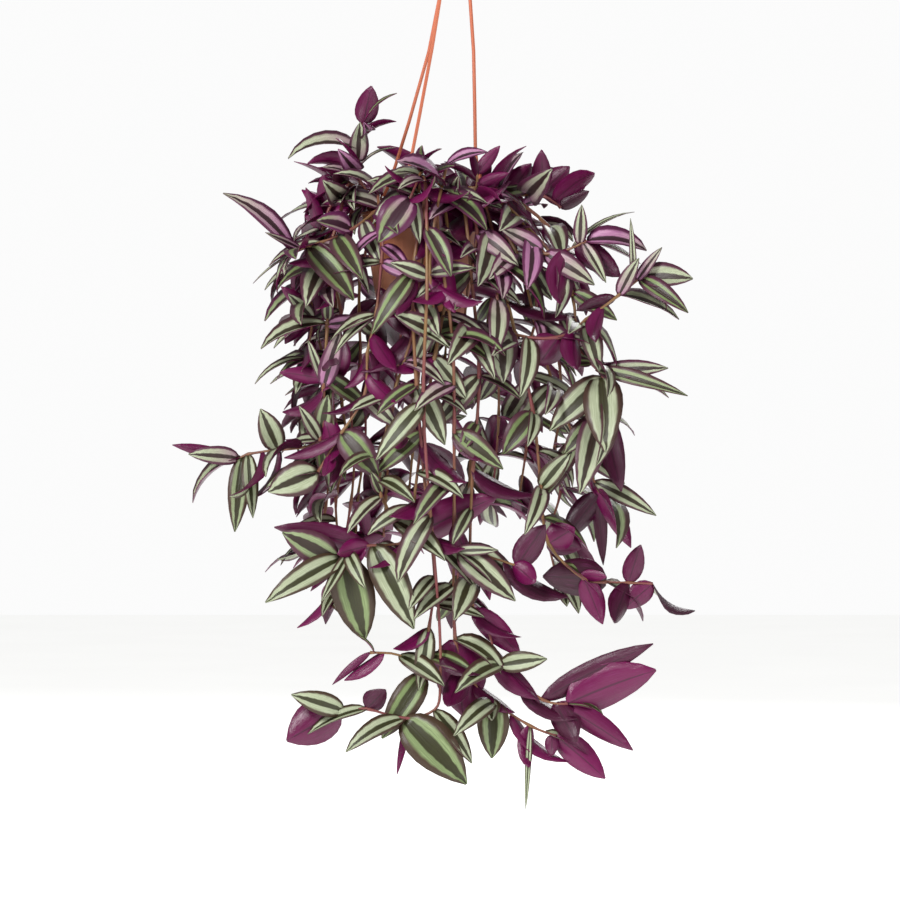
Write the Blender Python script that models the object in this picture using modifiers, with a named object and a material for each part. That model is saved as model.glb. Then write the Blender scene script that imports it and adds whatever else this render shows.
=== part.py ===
"""Hanging pot of trailing tradescantia.

Frame: metres, +Z up. The origin is the point where the hook bears on its rail, so every
other piece lies below it. +Y points away from the front. Routes of the stems are given in
centimetres as (x, y, depth below the origin).
"""
import math
import random

import bmesh
import bpy
from mathutils import Vector
from mathutils.bvhtree import BVHTree

MM = 0.001
CM = 0.01
GAP = 0.3 * MM

# ---- driving dimensions -------------------------------------------------------------------
POT_AXIS_X = -36 * MM
RIM_Z = -339 * MM
RIM_RADIUS = 70 * MM
LIP_HEIGHT = 3 * MM
WALL_TOP_RADIUS = 66.5 * MM
WALL = 1.8 * MM
BASE_RADIUS = 48 * MM
POT_HEIGHT = 115 * MM
SOIL_DEPTH = 13 * MM
DRAIN_RADIUS = 4 * MM
DRAIN_CIRCLE = 30 * MM
DRAIN_HOLES = 5
TURNS = 36

HOOK_WIRE = 2.5 * MM
HOOK_RADIUS = 13.5 * MM
HOOK_CENTRE_Z = -HOOK_RADIUS + HOOK_WIRE
CROWN_TOP = -33 * MM
CROWN_HEIGHT = 12 * MM
CROWN_RADIUS = 6.2 * MM
ARM_RADIUS = 2.05 * MM
ARM_CIRCLE = 3.6 * MM
CLIP_WIDTH = 14 * MM

STEM_RADIUS = 2.2 * MM
LEAF_THICKNESS = 1.6 * MM
GUARD_THICKNESS = 4 * MM
GUARD_WIDTH = 1.06
STEM_GUARD = 0.8 * MM
COLLAR = 7 * MM  # a stem leaves the soil upright for this long
FILLER_ANGLES = [-8, 28, 41, 54, 67, 80, 93, 106, 119, 148, 160, 172, 184, 196]
SEED = 11

# ---- colours (linear) and finishes --------------------------------------------------------
ORANGE_CLIP = (0.62, 0.10, 0.035, 1)
TERRACOTTA = (0.34, 0.10, 0.05, 1)
PEAT = (0.045, 0.025, 0.015, 1)
LEAF_PURPLE = (0.16, 0.02, 0.09, 1)
LEAF_SILVER = (0.32, 0.38, 0.24, 1)

# The upper side of a leaf turns this way: F front, B back, T up, L left, R right.
FACING = {
    "F": (0, -1, 0.25), "B": (0, 1, 0.25), "T": (0, -0.5, 1), "TB": (0, 0.7, 1),
    "L": (-1, -0.6, 0.1), "R": (1, -0.6, 0.1), "LB": (-1, 0.6, 0.1), "RB": (1, 0.6, 0.1),
    "TF": (0, -1, 0.6), "TL": (-0.3, -1, 0.5), "TR": (0.5, -0.8, 0.6),
}
# A leaf tip hangs this far in front of (-) or behind (+) the joint it grows from, in cm.
TIP_FORWARD = {"F": -1.3, "B": -0.6, "T": -1.2, "TB": 0.6, "L": -0.4, "R": -0.4,
               "LB": 0.5, "RB": 0.5, "TF": -1.4, "TL": -1.2, "TR": -1.0}

# name: (route in cm, leaves), a leaf being (route point, tip x, tip depth, width, facing, bend)
VINES = {
    "vine_crown_left": (
        [(-7.2, -2.6, 35.2), (-8.8, -3.4, 32.6), (-10.4, -4, 30.6), (-10.6, -4, 28.5),
         (-10.3, -4, 26), (-10, -4, 24.4)],
        [(5, -9.1, 20.3, 2.7, "B", 25), (5, -6.3, 21.3, 1.1, "T", 50),
         (4, -6.4, 24.1, 1.7, "TB", 80), (3, -10.3, 24.3, 2.3, "F", 35),
         (3, -12.9, 26.2, 1.3, "T", 20), (3, -6.4, 27.1, 1.1, "T", 60),
         (3, -16.1, 28.7, 2.3, "TB", 90), (2, -14.4, 29.2, 1.9, "T", 50),
         (2, -13.9, 30.4, 2.8, "B", 30), (2, -9.2, 30.6, 1.3, "RB", 40)]),
    "vine_crown_left_low": (
        [(-6.6, -0.4, 35.2), (-8.9, -1, 32.9), (-11.6, -1.8, 31.6), (-13.6, -2.4, 33.2),
         (-14.5, -2.8, 35.9)],
        [(3, -14.5, 29.9, 2.6, "B", 15), (2, -16.1, 30.7, 1.2, "TB", 80),
         (4, -16.3, 31.3, 1.6, "B", 20), (4, -16.5, 34.3, 1.5, "B", 10)]),
    "vine_left_wing": (
        [(-5.8, -3.4, 35.2), (-7.4, -6.4, 33.0), (-8.8, -7.8, 34.3), (-11.2, -8.8, 36.2),
         (-14.4, -9.4, 37.6), (-17.4, -10, 38.6)],
        [(5, -24.9, 32.4, 2.8, "TR", 60), (5, -24.8, 34.3, 3.4, "F", 30),
         (5, -20.3, 36.7, 1.0, "F", 10), (5, -19, 42.3, 3.4, "TL", 70),
         (5, -10.9, 43.9, 3.6, "TF", 45), (4, -9.3, 43.2, 3.3, "TR", 60),
         (4, -17.3, 36.9, 2.6, "F", 20), (3, -14.9, 35.3, 2.9, "TF", 50),
         (2, -6.0, 30.1, 2.7, "F", 40), (5, -21.8, 42, 0.9, "T", 30)]),
    "vine_front_left": (
        [(-7, -4.3, 35.2), (-7.8, -7.8, 33.2), (-7.3, -10.5, 37), (-7.4, -11, 40.3),
         (-8, -11.2, 46), (-8.9, -11.4, 50), (-9.2, -11.6, 54.6), (-11.6, -11.8, 58.5),
         (-14.2, -11.6, 62.8)],
        [(3, -2.5, 42.5, 2.0, "F", 40), (5, -8, 53.9, 1.9, "B", 30),
         (8, -19.5, 64.9, 3.8, "F", 30), (6, -5.7, 58, 2.2, "F", 40),
         (7, -7.7, 63.3, 3.6, "F", 40), (4, -12.4, 50.2, 2.0, "L", 40)]),
    "vine_far_left": (
        [(-8.6, -1, 35.2), (-11.6, -3, 34.6), (-13.4, -6, 40), (-13.8, -8, 46.4),
         (-14.2, -8.6, 53.2), (-14.6, -8.4, 58.9), (-19.2, -7.2, 59.9), (-22.4, -6.8, 60.4),
         (-23.8, -6.8, 61.1)],
        [(8, -30.6, 59.4, 1.5, "B", 30), (8, -28.8, 60.4, 2.2, "F", 30),
         (8, -23.8, 68.8, 2.5, "F", 30), (7, -21.8, 67.3, 1.9, "F", 40),
         (6, -21, 55.5, 2.9, "F", 30), (6, -17.9, 55.4, 1.8, "L", 30),
         (4, -12.3, 46.9, 2.3, "F", 30), (4, -15.9, 48, 1.2, "F", 30),
         (4, -18.9, 51.6, 1.9, "B", 40), (4, -9.5, 55.4, 2.2, "F", 40),
         (5, -16.8, 55.2, 1.7, "F", 30), (5, -20.1, 61.3, 2.2, "F", 40),
         (5, -13.7, 54, 2.3, "F", 30), (5, -14.4, 62.7, 1.7, "F", 20),
         (3, -9, 46.1, 1.8, "F", 30), (3, -13.7, 43.1, 1.4, "F", 30)]),
    "vine_left_upper": (
        [(-7.6, 1.5, 35.2), (-10.4, 0.6, 33.2), (-14.2, -2.2, 36.8), (-15.8, -4.4, 41),
         (-15.5, -5, 45.7), (-16.2, -5.2, 50)],
        [(4, -18.1, 43, 1.9, "F", 30), (4, -18.9, 42.2, 1.7, "B", 30),
         (4, -19.1, 48.1, 1.1, "T", 90), (4, -16.3, 49.3, 1.3, "F", 30),
         (4, -18.5, 48.4, 2.4, "B", 40), (5, -21.7, 52.8, 1.3, "T", 60),
         (5, -16.8, 54.4, 1.8, "F", 30)]),
    "vine_lower_left": (
        [(-4.4, -5.2, 35.2), (-3.2, -8.8, 33.3), (-3.6, -11.2, 40), (-4.4, -11.4, 47),
         (-6.6, -11.6, 54), (-7.8, -12, 61), (-7.9, -12.4, 65), (-5.4, -12.8, 69.6),
         (-9.6, -13, 70.2), (-12.6, -13.2, 71.8)],
        [(6, -11.2, 67.3, 1.5, "F", 30), (6, -9, 62.2, 1.3, "F", 30),
         (6, -1.4, 65.5, 3.8, "F", 40), (7, 4.6, 64.9, 4.2, "B", 40),
         (8, -19.3, 68.2, 2.8, "B", 30), (8, -12.5, 71, 2.2, "B", 30),
         (9, -18.4, 68.7, 3.6, "F", 30), (9, -20.1, 76.1, 3.0, "F", 50),
         (9, -9.7, 80.3, 4.8, "F", 40), (8, -4.4, 79, 4.0, "F", 40),
         (9, -14.2, 76, 1.3, "F", 20), (9, -15.4, 75, 1.2, "B", 80),
         (8, -6, 71.5, 2.2, "F", 30)]),
    "vine_lower_cross": (
        [(-2, -5.4, 35.2), (-1.2, -9, 33.2), (-0.6, -11.8, 41), (-2.2, -12.2, 50),
         (-3.4, -12.6, 58), (-4.4, -13.4, 66), (-3.6, -13.8, 69.6), (0.4, -14, 70.8),
         (3.4, -14, 71.3), (6.6, -14, 72.3)],
        [(6, 1.2, 77, 4.6, "F", 40), (7, 6.4, 76, 3.4, "F", 30), (7, 4.6, 70.6, 1.4, "F", 20),
         (8, 2.9, 63, 3.4, "TR", 80), (9, 9.6, 67.9, 3.0, "B", 30), (9, 8.5, 74, 2.4, "B", 30),
         (4, -8.5, 62.5, 2.4, "F", 40), (3, 1.2, 54.6, 2.2, "F", 40)]),
    "vine_right_low": (
        [(-0.4, -3.4, 35.2), (2.4, -7.4, 33.6), (4.6, -9.6, 40), (6.6, -10.4, 48),
         (8.4, -11, 56), (9.2, -11.4, 64), (10, -11.6, 70), (13.8, -11.4, 73.7),
         (16.2, -11.2, 74.1), (18.6, -11, 74.2), (21.2, -10.8, 74.3)],
        [(8, 9.4, 73.5, 4.4, "B", 40), (6, 12.8, 68.3, 3.2, "B", 30),
         (6, 13.6, 70.5, 3.2, "B", 30), (7, 15.8, 78.6, 2.6, "B", 30),
         (7, 16.2, 73.5, 1.4, "B", 20), (9, 19.9, 70.1, 2.3, "B", 20),
         (10, 18.1, 77, 2.6, "B", 30), (10, 27.6, 71, 3.7, "B", 20),
         (10, 26.8, 76.8, 1.9, "B", 30), (4, 5.1, 60.4, 3.0, "F", 40),
         (5, 12.4, 60.2, 2.4, "F", 40), (5, 11, 69, 2.2, "F", 30)]),
    "vine_low_right": (
        [(-1.8, -4.9, 35.2), (0.9, -9.6, 33.8), (1.8, -11, 42), (2.6, -11.4, 52),
         (1.9, -11.8, 62), (1.6, -12.4, 70), (1.9, -12.8, 77), (3.6, -13, 79.4),
         (4.8, -13.2, 82.9), (9.3, -13.4, 86.6), (12, -13.4, 87)],
        [(10, 21.4, 83.4, 5.0, "B", 40), (9, 21.1, 80.6, 2.6, "B", 30),
         (10, 23.6, 85.6, 2.4, "B", 30), (10, 18.9, 91.9, 2.8, "B", 30),
         (10, 12.9, 91, 3.2, "B", 30), (8, 9.8, 82.2, 2.4, "F", 30),
         (8, 9.1, 87, 1.5, "B", 20), (6, 7, 81.9, 2.8, "B", 30), (3, -2.6, 58, 2.6, "F", 40),
         (4, -1, 67.4, 2.8, "T", 60)]),
    "vine_bottom_centre": (
        [(-2.6, -3.6, 35.2), (-1.6, -9.4, 31.9), (-1.2, -13, 38), (0.2, -13.4, 48),
         (0.4, -13.2, 58), (0.4, -12.6, 68), (0.5, -12.4, 80.2), (2.6, -12.4, 85),
         (4.6, -12.8, 86.9), (8.5, -13, 89.4), (11.3, -13, 90.5)],
        [(6, 1.4, 88.4, 6.0, "B", 20), (8, 4.4, 92.8, 3.6, "F", 30), (8, 4.4, 88.8, 2.2, "F", 20),
         (9, 8, 98.3, 0.7, "F", 20), (10, 16.5, 95, 3.2, "B", 30), (10, 10.8, 92.6, 1.6, "B", 30),
         (4, 5.6, 62, 2.6, "F", 40), (5, -4.6, 73, 2.4, "F", 40)]),
    "vine_bottom_left": (
        [(-4.2, -3, 35.2), (-2.2, -10.4, 32.2), (-2, -14.4, 44), (-2.4, -14.2, 56),
         (-1.6, -13.6, 68), (-0.7, -13.2, 79), (-0.6, -13.4, 86), (-1.2, -13.6, 88.6),
         (-4.4, -13.8, 89.5), (-8.4, -13.6, 88.5), (-11.3, -13.4, 88.8)],
        [(10, -16.9, 91.9, 5.0, "B", 30), (9, -6.4, 86.4, 2.6, "B", 30),
         (8, 2.2, 96.4, 5.2, "F", 30), (8, -5.2, 95.5, 0.9, "B", 20),
         (10, -16.4, 86.9, 2.6, "F", 30), (3, -7.4, 62, 2.6, "F", 40)]),
    "vine_low_left": (
        [(-3.5, -5.8, 35.2), (-3.4, -9.2, 32.4), (-5, -12.6, 42), (-4.6, -13, 54),
         (-3.6, -12.6, 66), (-2.7, -12.2, 74.5), (-3.3, -12.2, 80), (-3.8, -12.2, 84.9),
         (-6.4, -12.4, 82.9), (-9.6, -12.4, 82.6)],
        [(6, -4.4, 86.6, 2.2, "F", 20), (7, -8.3, 91.7, 3.4, "F", 30), (9, -13.6, 86, 0.9, "B", 40),
         (9, -11, 80.7, 0.8, "T", 40), (3, -1.6, 60.4, 3.0, "F", 40),
         (2, -9.4, 48.6, 2.4, "F", 50)]),
    "vine_right_upper": (
        [(0.6, -3.2, 35.2), (3.4, -6.8, 33.8), (4.6, -10.6, 40), (5, -11.8, 46.8),
         (11, -12, 47.9), (14, -11.4, 46), (17.6, -10.6, 43.3), (20.2, -10, 41.2)],
        [(7, 25.5, 41.6, 3.0, "F", 30), (7, 24.9, 45.3, 2.2, "F", 40),
         (7, 22.2, 38.2, 1.3, "F", 30), (7, 18.8, 35.1, 0.8, "F", 70),
         (6, 19.7, 39.4, 1.8, "F", 30), (6, 13, 45, 1.6, "B", 30), (4, 9, 50.7, 4.0, "B", 30),
         (3, 5.1, 52.8, 3.6, "F", 30), (5, 15.4, 51.6, 2.4, "F", 40)]),
    "vine_right_mid": (
        [(1, 0.6, 35.2), (3.8, -1.8, 32.4), (9, -7, 37), (12.6, -9.4, 43), (13.2, -10.4, 49),
         (16, -11, 52.3), (15.4, -11.4, 56.4)],
        [(5, 10.1, 57.9, 3.6, "F", 40), (5, 16, 60.2, 4.4, "F", 30), (5, 22.8, 51.2, 2.2, "F", 30),
         (5, 24.8, 54.2, 1.9, "F", 30), (5, 20.8, 60.5, 2.8, "F", 30),
         (5, 12, 50.8, 1.2, "F", 30), (6, 11.6, 60.4, 2.6, "F", 40), (6, 13.2, 64.6, 3.6, "F", 30),
         (6, 17.8, 64.4, 3.0, "B", 30), (4, 16, 51, 2.0, "F", 30), (3, 17.4, 46, 2.2, "F", 40)]),
    "vine_right_shoulder": (
        [(-0.2, 1.4, 35.2), (2.6, -0.8, 31.6), (6.8, -5.4, 34.6), (9.7, -7.4, 38.8),
         (14.2, -8.4, 37.4)],
        [(4, 20.6, 38.5, 3.0, "TR", 70), (4, 16.2, 42, 1.6, "F", 30), (4, 13.6, 33.6, 1.6, "F", 30),
         (4, 17.8, 41.3, 3.0, "B", 40), (4, 19.4, 34.2, 1.0, "T", 50),
         (3, 15, 42.2, 2.6, "F", 50), (3, 4.8, 36, 2.2, "F", 30)]),
    "vine_crown_right": (
        [(-1.2, 3, 35.2), (1.6, 2.4, 31), (6, 0.6, 31.8), (9.6, -1.2, 32), (11.6, -1.8, 33.4)],
        [(3, 9.5, 27, 2.4, "B", 30), (2, 8.4, 28.4, 2.6, "B", 40), (3, 12.6, 28.8, 3.0, "B", 30),
         (4, 14.7, 31.6, 1.8, "B", 30), (2, 8.4, 36.2, 3.0, "B", 30), (1, 4, 28.2, 2.4, "B", 40)]),
    "vine_crown_mid": (
        [(-2.6, -1, 35.2), (0.2, -2.8, 33), (2.2, -3.4, 31.6), (2.4, -3.6, 29.8)],
        [(3, 4.9, 26.8, 1.5, "B", 30), (3, 1.6, 27.1, 0.9, "B", 20), (3, -1.6, 28.7, 1.2, "TB", 50),
         (3, 5.9, 29.7, 1.4, "B", 40), (1, -0.2, 36.9, 2.2, "F", 40), (2, -0.8, 34.8, 1.9, "F", 40)]),
    "vine_centre_front": (
        [(-3.2, -4.9, 35.2), (-2.6, -9.4, 31.4), (-3.8, -12.6, 34.6)],
        [(2, -7.2, 39.3, 3.9, "F", 40), (2, -2.8, 39.4, 1.8, "F", 30), (1, 2.2, 38.6, 2.4, "F", 40)]),
    "vine_centre_star": (
        [(-4.4, -1.6, 35.2), (-2.4, -9.6, 31.2), (-3.6, -13.6, 37), (-4.2, -14.4, 43.5),
         (-3.2, -14.6, 49.8)],
        [(4, -8, 47.5, 2.7, "F", 40), (4, 3, 49, 2.8, "F", 40), (4, -3.3, 45.9, 2.0, "F", 50),
         (4, -1.3, 54.3, 1.8, "F", 30), (4, -6, 53, 1.8, "F", 30), (3, -8.4, 42, 2.0, "F", 30),
         (3, 0.6, 42.6, 1.9, "F", 40)]),
    "vine_green_group": (
        [(-1.8, -2.4, 35.2), (1, -7.8, 33), (2.4, -9.4, 36.5), (1.6, -10.8, 40.4),
         (1, -11.4, 46.2)],
        [(4, -4.9, 47.4, 3.0, "F", 40), (3, -3.4, 45, 3.2, "F", 40), (3, -0.9, 44.7, 1.6, "F", 30),
         (3, 5.4, 46.6, 2.6, "R", 60), (4, 4.2, 52.4, 2.6, "F", 40), (2, 6.8, 40.2, 2.4, "F", 50)]),
    "vine_right_side": (
        [(-0.9, -0.9, 35.2), (3.2, -4.2, 33.2), (6.6, -8.2, 38.6), (8.6, -9, 46), (10.6, -9.4, 53),
         (13.2, -9.4, 59.4), (15.6, -9.2, 64.6)],
        [(6, 11.6, 70, 3.0, "B", 30), (6, 16, 72.4, 1.6, "B", 30), (6, 18.8, 70.4, 2.4, "B", 30),
         (5, 18.2, 63.6, 2.6, "F", 40), (5, 9.4, 65.2, 2.4, "F", 30), (4, 6.2, 58.4, 2.6, "F", 40),
         (3, 14.2, 50.4, 2.4, "F", 40), (2, 10.4, 43.8, 2.4, "F", 40), (6, 21.6, 67, 2.2, "F", 50)]),
}


# ---- placing ------------------------------------------------------------------------------
def at(point):
    """A route point in centimetres as a place in metres."""
    return Vector((point[0], point[1], -point[2])) * CM


def on_pot(radius, degrees, z):
    """A place at this radius and angle round the pot's axis."""
    angle = math.radians(degrees)
    return Vector((POT_AXIS_X + radius * math.cos(angle), radius * math.sin(angle), z))


def over_rim(route):
    """Lift a route over the pot's rim where it would pass through the wall."""
    inner, outer, clear_depth = 6.1, 7.6, 33.2
    centre = POT_AXIS_X / CM
    out = [route[0]]
    for here, there in zip(route, route[1:]):
        r_here = math.hypot(here[0] - centre, here[1])
        r_there = math.hypot(there[0] - centre, there[1])
        for radius in (inner, outer):
            if r_here < radius < r_there:
                t = (radius - r_here) / (r_there - r_here)
                x, y, depth = (a + (b - a) * t for a, b in zip(here, there))
                if depth > clear_depth - 0.2:
                    out.append((x, y, clear_depth))
        out.append(there)
    return out


def smooth_route(points):
    """The route with one Catmull-Rom point half way along each stretch."""
    ends = [points[0]] + points + [points[-1]]
    out = [points[0]]
    for before, a, b, after in zip(ends, ends[1:], ends[2:], ends[3:]):
        out.append((a + b) * 0.5625 - (before + after) * 0.0625)
        out.append(b)
    return out


def filler_vines():
    """Plain hanging shoots that close the back and the sides, by a seeded rule."""
    rng = random.Random(SEED)
    centre = POT_AXIS_X / CM
    vines = {}
    for index, degrees in enumerate(FILLER_ANGLES):
        angle = math.radians(degrees)
        start = 5.3 if index % 2 else 4.2
        reach = rng.uniform(9.5, 13) + (4 if math.cos(angle) > 0.4 else 0)
        length = rng.uniform(22, 40) if index % 3 else rng.uniform(40, 52)
        rise = rng.uniform(30.4, 32.6)
        spots = [(start, 35.2), (8.4, rise), (reach * 0.92, rise + 4)]
        depth = rise + 8.5
        while depth < rise + length:
            spots.append((reach + rng.uniform(-0.8, 0.8), depth))
            depth += rng.uniform(4.6, 5.6)
        route = [(centre + r * math.cos(angle + 0.04 * i), r * math.sin(angle + 0.04 * i), d)
                 for i, (r, d) in enumerate(spots)]
        leaves = []
        for i in range(1, len(route)):
            last = i == len(route) - 1
            for k in range(3 if last else 1 + i % 2):
                turn = angle + (1.1 if (i + k) % 2 else -1.1) * rng.uniform(0.6, 1.2)
                size = rng.uniform(6, 9) * (0.8 if last else 1)
                drop = rng.uniform(0.2, 0.75) if i > 1 else rng.uniform(-0.7, 0.1)
                away = size * math.sqrt(1 - drop * drop)
                x, y, d = route[i]
                tip = (x + away * math.cos(turn), y + away * math.sin(turn), d + size * drop)
                up = (math.cos(turn) * 0.7, math.sin(turn) * 0.7, 1)
                leaves.append((i, tip, size * rng.uniform(0.32, 0.42), up, rng.uniform(30, 75)))
        vines[f"vine_back_{index + 1:02d}"] = (route, leaves)
    return vines


def featured_vines():
    """The vines of the table, with each leaf's tip and facing spelled out."""
    vines = {}
    for name, (route, leaves) in VINES.items():
        full = [(point, (x, route[point][1] + TIP_FORWARD[side], depth), width, FACING[side], bend)
                for point, x, depth, width, side, bend in leaves]
        vines[name] = (route, full)
    return vines


# A vine that meets another one is tried again with everything past its root moved, in mm.
STEM_SHIFTS = [(0, 0, 0), (0, -5, 0), (0, 5, 0), (-5, 0, 0), (5, 0, 0), (0, 0, 5), (0, -5, 5),
               (0, 5, 5), (-5, 0, 5), (5, 0, 5), (0, -10, 0), (0, 10, 0), (0, 0, 10), (-10, 0, 0),
               (10, 0, 0), (0, -10, 5), (5, -5, 10), (-5, -5, 10), (10, -10, 10), (-10, -10, 10),
               (0, 10, 10), (0, -15, 0), (0, 15, 0), (15, 0, 5), (-15, 0, 5), (0, -15, 15),
               (0, 0, 15), (10, 0, 15), (-10, 0, 15), (0, 10, 20), (15, 10, 20), (-15, 10, 20)]
# A leaf that meets something swings its tip to and fro by these steps, in mm.
TIP_SHIFTS = [0, -8, 8, -16, 16, -24, 24, -32, 32]
# Leaves of one joint start this far apart along the stem.
LEAF_STEP = 4.5 * MM


# ---- shapes -------------------------------------------------------------------------------
def leaf_frame(base, tip, up):
    """Length and axes of a leaf: along it, out of its upper side, and across it."""
    along = tip - base
    length = along.length
    along = along / length
    normal = (up - along * up.dot(along)).normalized()
    return length, along, normal, along.cross(normal)


def leaf_body(base, tip, width, up, bend, thickness):
    """A closed, arched, egg-shaped leaf with its poles at the base and the tip."""
    length, along, normal, across = leaf_frame(base, tip, up)
    theta = math.radians(max(bend, 6))
    half_sine = 2 * math.sin(theta / 2)
    bm = bmesh.new()
    bmesh.ops.create_uvsphere(bm, u_segments=4, v_segments=3, radius=1)
    for vert in bm.verts:
        x, y, z = vert.co
        u = (1 + z) / 2
        phi = theta * (u - 0.5)
        centre = (base + along * length * (0.5 + math.sin(phi) / half_sine)
                  + normal * length * (math.cos(phi) - math.cos(theta / 2)) / half_sine)
        outward = normal * math.cos(phi) + along * math.sin(phi)
        half_width = width / 2 * 1.15 * (1.2 - 0.5 * u)
        vert.co = centre + across * x * half_width + outward * y * thickness / 2
    bmesh.ops.recalc_face_normals(bm, faces=bm.faces)
    return bm


def tree_of(bm):
    """The surface of a bmesh as a search tree, with its box."""
    verts = [v.co.copy() for v in bm.verts]
    bm.verts.index_update()
    faces = [[v.index for v in f.verts] for f in bm.faces]
    low = Vector([min(v[i] for v in verts) for i in range(3)])
    high = Vector([max(v[i] for v in verts) for i in range(3)])
    return low, high, BVHTree.FromPolygons(verts, faces)


def is_clear(shape, others):
    """True where the shape's surface meets none of the others."""
    low, high, tree = shape
    for other_low, other_high, other in others:
        apart = any(high[i] < other_low[i] or other_high[i] < low[i] for i in range(3))
        if not apart and tree.overlap(other):
            return False
    return True


def to_object(name, bm, collection, material=None):
    """Turn a bmesh into an object of its own."""
    mesh = bpy.data.meshes.new(name)
    bm.to_mesh(mesh)
    obj = bpy.data.objects.new(name, mesh)
    collection.objects.link(obj)
    if material:
        mesh.materials.append(material)
    return obj


def evaluated_bmesh(obj):
    """The object's evaluated surface in world space, welded, as a bmesh."""
    bpy.context.view_layer.update()
    graph = bpy.context.evaluated_depsgraph_get()
    mesh = bpy.data.meshes.new_from_object(obj.evaluated_get(graph))
    bm = bmesh.new()
    bm.from_mesh(mesh)
    bm.transform(obj.matrix_world)
    bmesh.ops.remove_doubles(bm, verts=bm.verts, dist=0.01 * MM)
    bpy.data.meshes.remove(mesh)
    return bm


def tube(points, radius, resolution):
    """A closed round tube through these points, as a bmesh."""
    curve = bpy.data.curves.new("tube", "CURVE")
    curve.dimensions = "3D"
    curve.bevel_depth = radius
    curve.bevel_resolution = resolution
    curve.use_fill_caps = True
    spline = curve.splines.new("POLY")
    spline.points.add(len(points) - 1)
    for knot, point in zip(spline.points, points):
        knot.co = (*point, 1)
    obj = bpy.data.objects.new("tube", curve)
    guides.objects.link(obj)
    bm = evaluated_bmesh(obj)
    bmesh.ops.recalc_face_normals(bm, faces=bm.faces)
    bpy.data.objects.remove(obj)
    bpy.data.curves.remove(curve)
    return bm


def merged(bmeshes):
    """Several bmeshes in one, still as separate bodies."""
    whole = bmesh.new()
    for bm in bmeshes:
        mesh = bpy.data.meshes.new("loose")
        bm.to_mesh(mesh)
        whole.from_mesh(mesh)
        bpy.data.meshes.remove(mesh)
    return whole


def cut_or_join(body, tool, operation, several=False):
    """Join a tool to the body, or cut it out; several parts of it may cross each other."""
    tool.hide_render = True
    tool.display_type = "WIRE"
    modifier = body.modifiers.new(operation.lower(), "BOOLEAN")
    modifier.operation = operation
    modifier.solver = "EXACT"
    modifier.use_self = several
    modifier.object = tool


def finish(name, colour, roughness, metallic=0.0):
    """A plain principled material."""
    material = bpy.data.materials.new(name)
    material.use_nodes = True
    shader = material.node_tree.nodes["Principled BSDF"]
    shader.inputs["Base Color"].default_value = colour
    shader.inputs["Roughness"].default_value = roughness
    shader.inputs["Metallic"].default_value = metallic
    return material


def new_collection(name):
    collection = bpy.data.collections.new(name)
    bpy.context.scene.collection.children.link(collection)
    return collection


# ---- pot and soil -------------------------------------------------------------------------
def turned(name, profile, material):
    """A profile of (radius, z below the rim), turned round the pot's axis."""
    bm = bmesh.new()
    verts = [bm.verts.new((radius, 0, z)) for radius, z in profile]
    for a, b in zip(verts, verts[1:]):
        bm.edges.new((a, b))
    obj = to_object(name, bm, parts, material)
    obj.location = (POT_AXIS_X, 0, RIM_Z)
    screw = obj.modifiers.new("turn", "SCREW")
    screw.steps = screw.render_steps = TURNS
    screw.use_merge_vertices = True
    screw.merge_threshold = 0.01 * MM
    screw.use_normal_calculate = True
    return obj


def wall_radius(z):
    """Outer radius of the pot's wall at a height below the rim."""
    return BASE_RADIUS + (WALL_TOP_RADIUS - BASE_RADIUS) * (1 + z / POT_HEIGHT)


def make_pot():
    floor = -POT_HEIGHT + WALL
    foot = 3 * MM
    outside = [(0, -POT_HEIGHT), (BASE_RADIUS - foot, -POT_HEIGHT),
               (BASE_RADIUS, -POT_HEIGHT + foot), (wall_radius(-LIP_HEIGHT), -LIP_HEIGHT),
               (RIM_RADIUS, -LIP_HEIGHT), (RIM_RADIUS, -0.5 * MM), (RIM_RADIUS - 0.6 * MM, 0),
               (WALL_TOP_RADIUS - WALL + 0.6 * MM, 0), (WALL_TOP_RADIUS - WALL, -0.6 * MM),
               (wall_radius(floor) - WALL, floor), (0, floor)]
    pot = turned("pot", outside[::-1], finish("terracotta_plastic", TERRACOTTA, 0.5))
    holes = []
    for index in range(DRAIN_HOLES):
        angle = 2 * math.pi * index / DRAIN_HOLES
        bm = bmesh.new()
        bmesh.ops.create_cone(bm, cap_ends=True, segments=12, radius1=DRAIN_RADIUS,
                              radius2=DRAIN_RADIUS, depth=4 * WALL)
        centre = Vector((POT_AXIS_X + DRAIN_CIRCLE * math.cos(angle), DRAIN_CIRCLE * math.sin(angle),
                         RIM_Z - POT_HEIGHT + WALL / 2))
        bmesh.ops.translate(bm, verts=bm.verts, vec=centre)
        holes.append(bm)
    cut_or_join(pot, to_object("drain_cutter", merged(holes), guides), "DIFFERENCE")
    return pot


def make_soil():
    top = -SOIL_DEPTH
    bottom = -POT_HEIGHT + WALL + GAP
    fill_top = wall_radius(top) - WALL - GAP - 1 * MM
    profile = [(0, bottom), (wall_radius(bottom) - WALL - 2 * GAP, bottom),
               (fill_top, top - 2 * MM), (fill_top - 1.5 * MM, top), (0, top)]
    return turned("soil", profile, finish("potting_soil", PEAT, 0.95))


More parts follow.
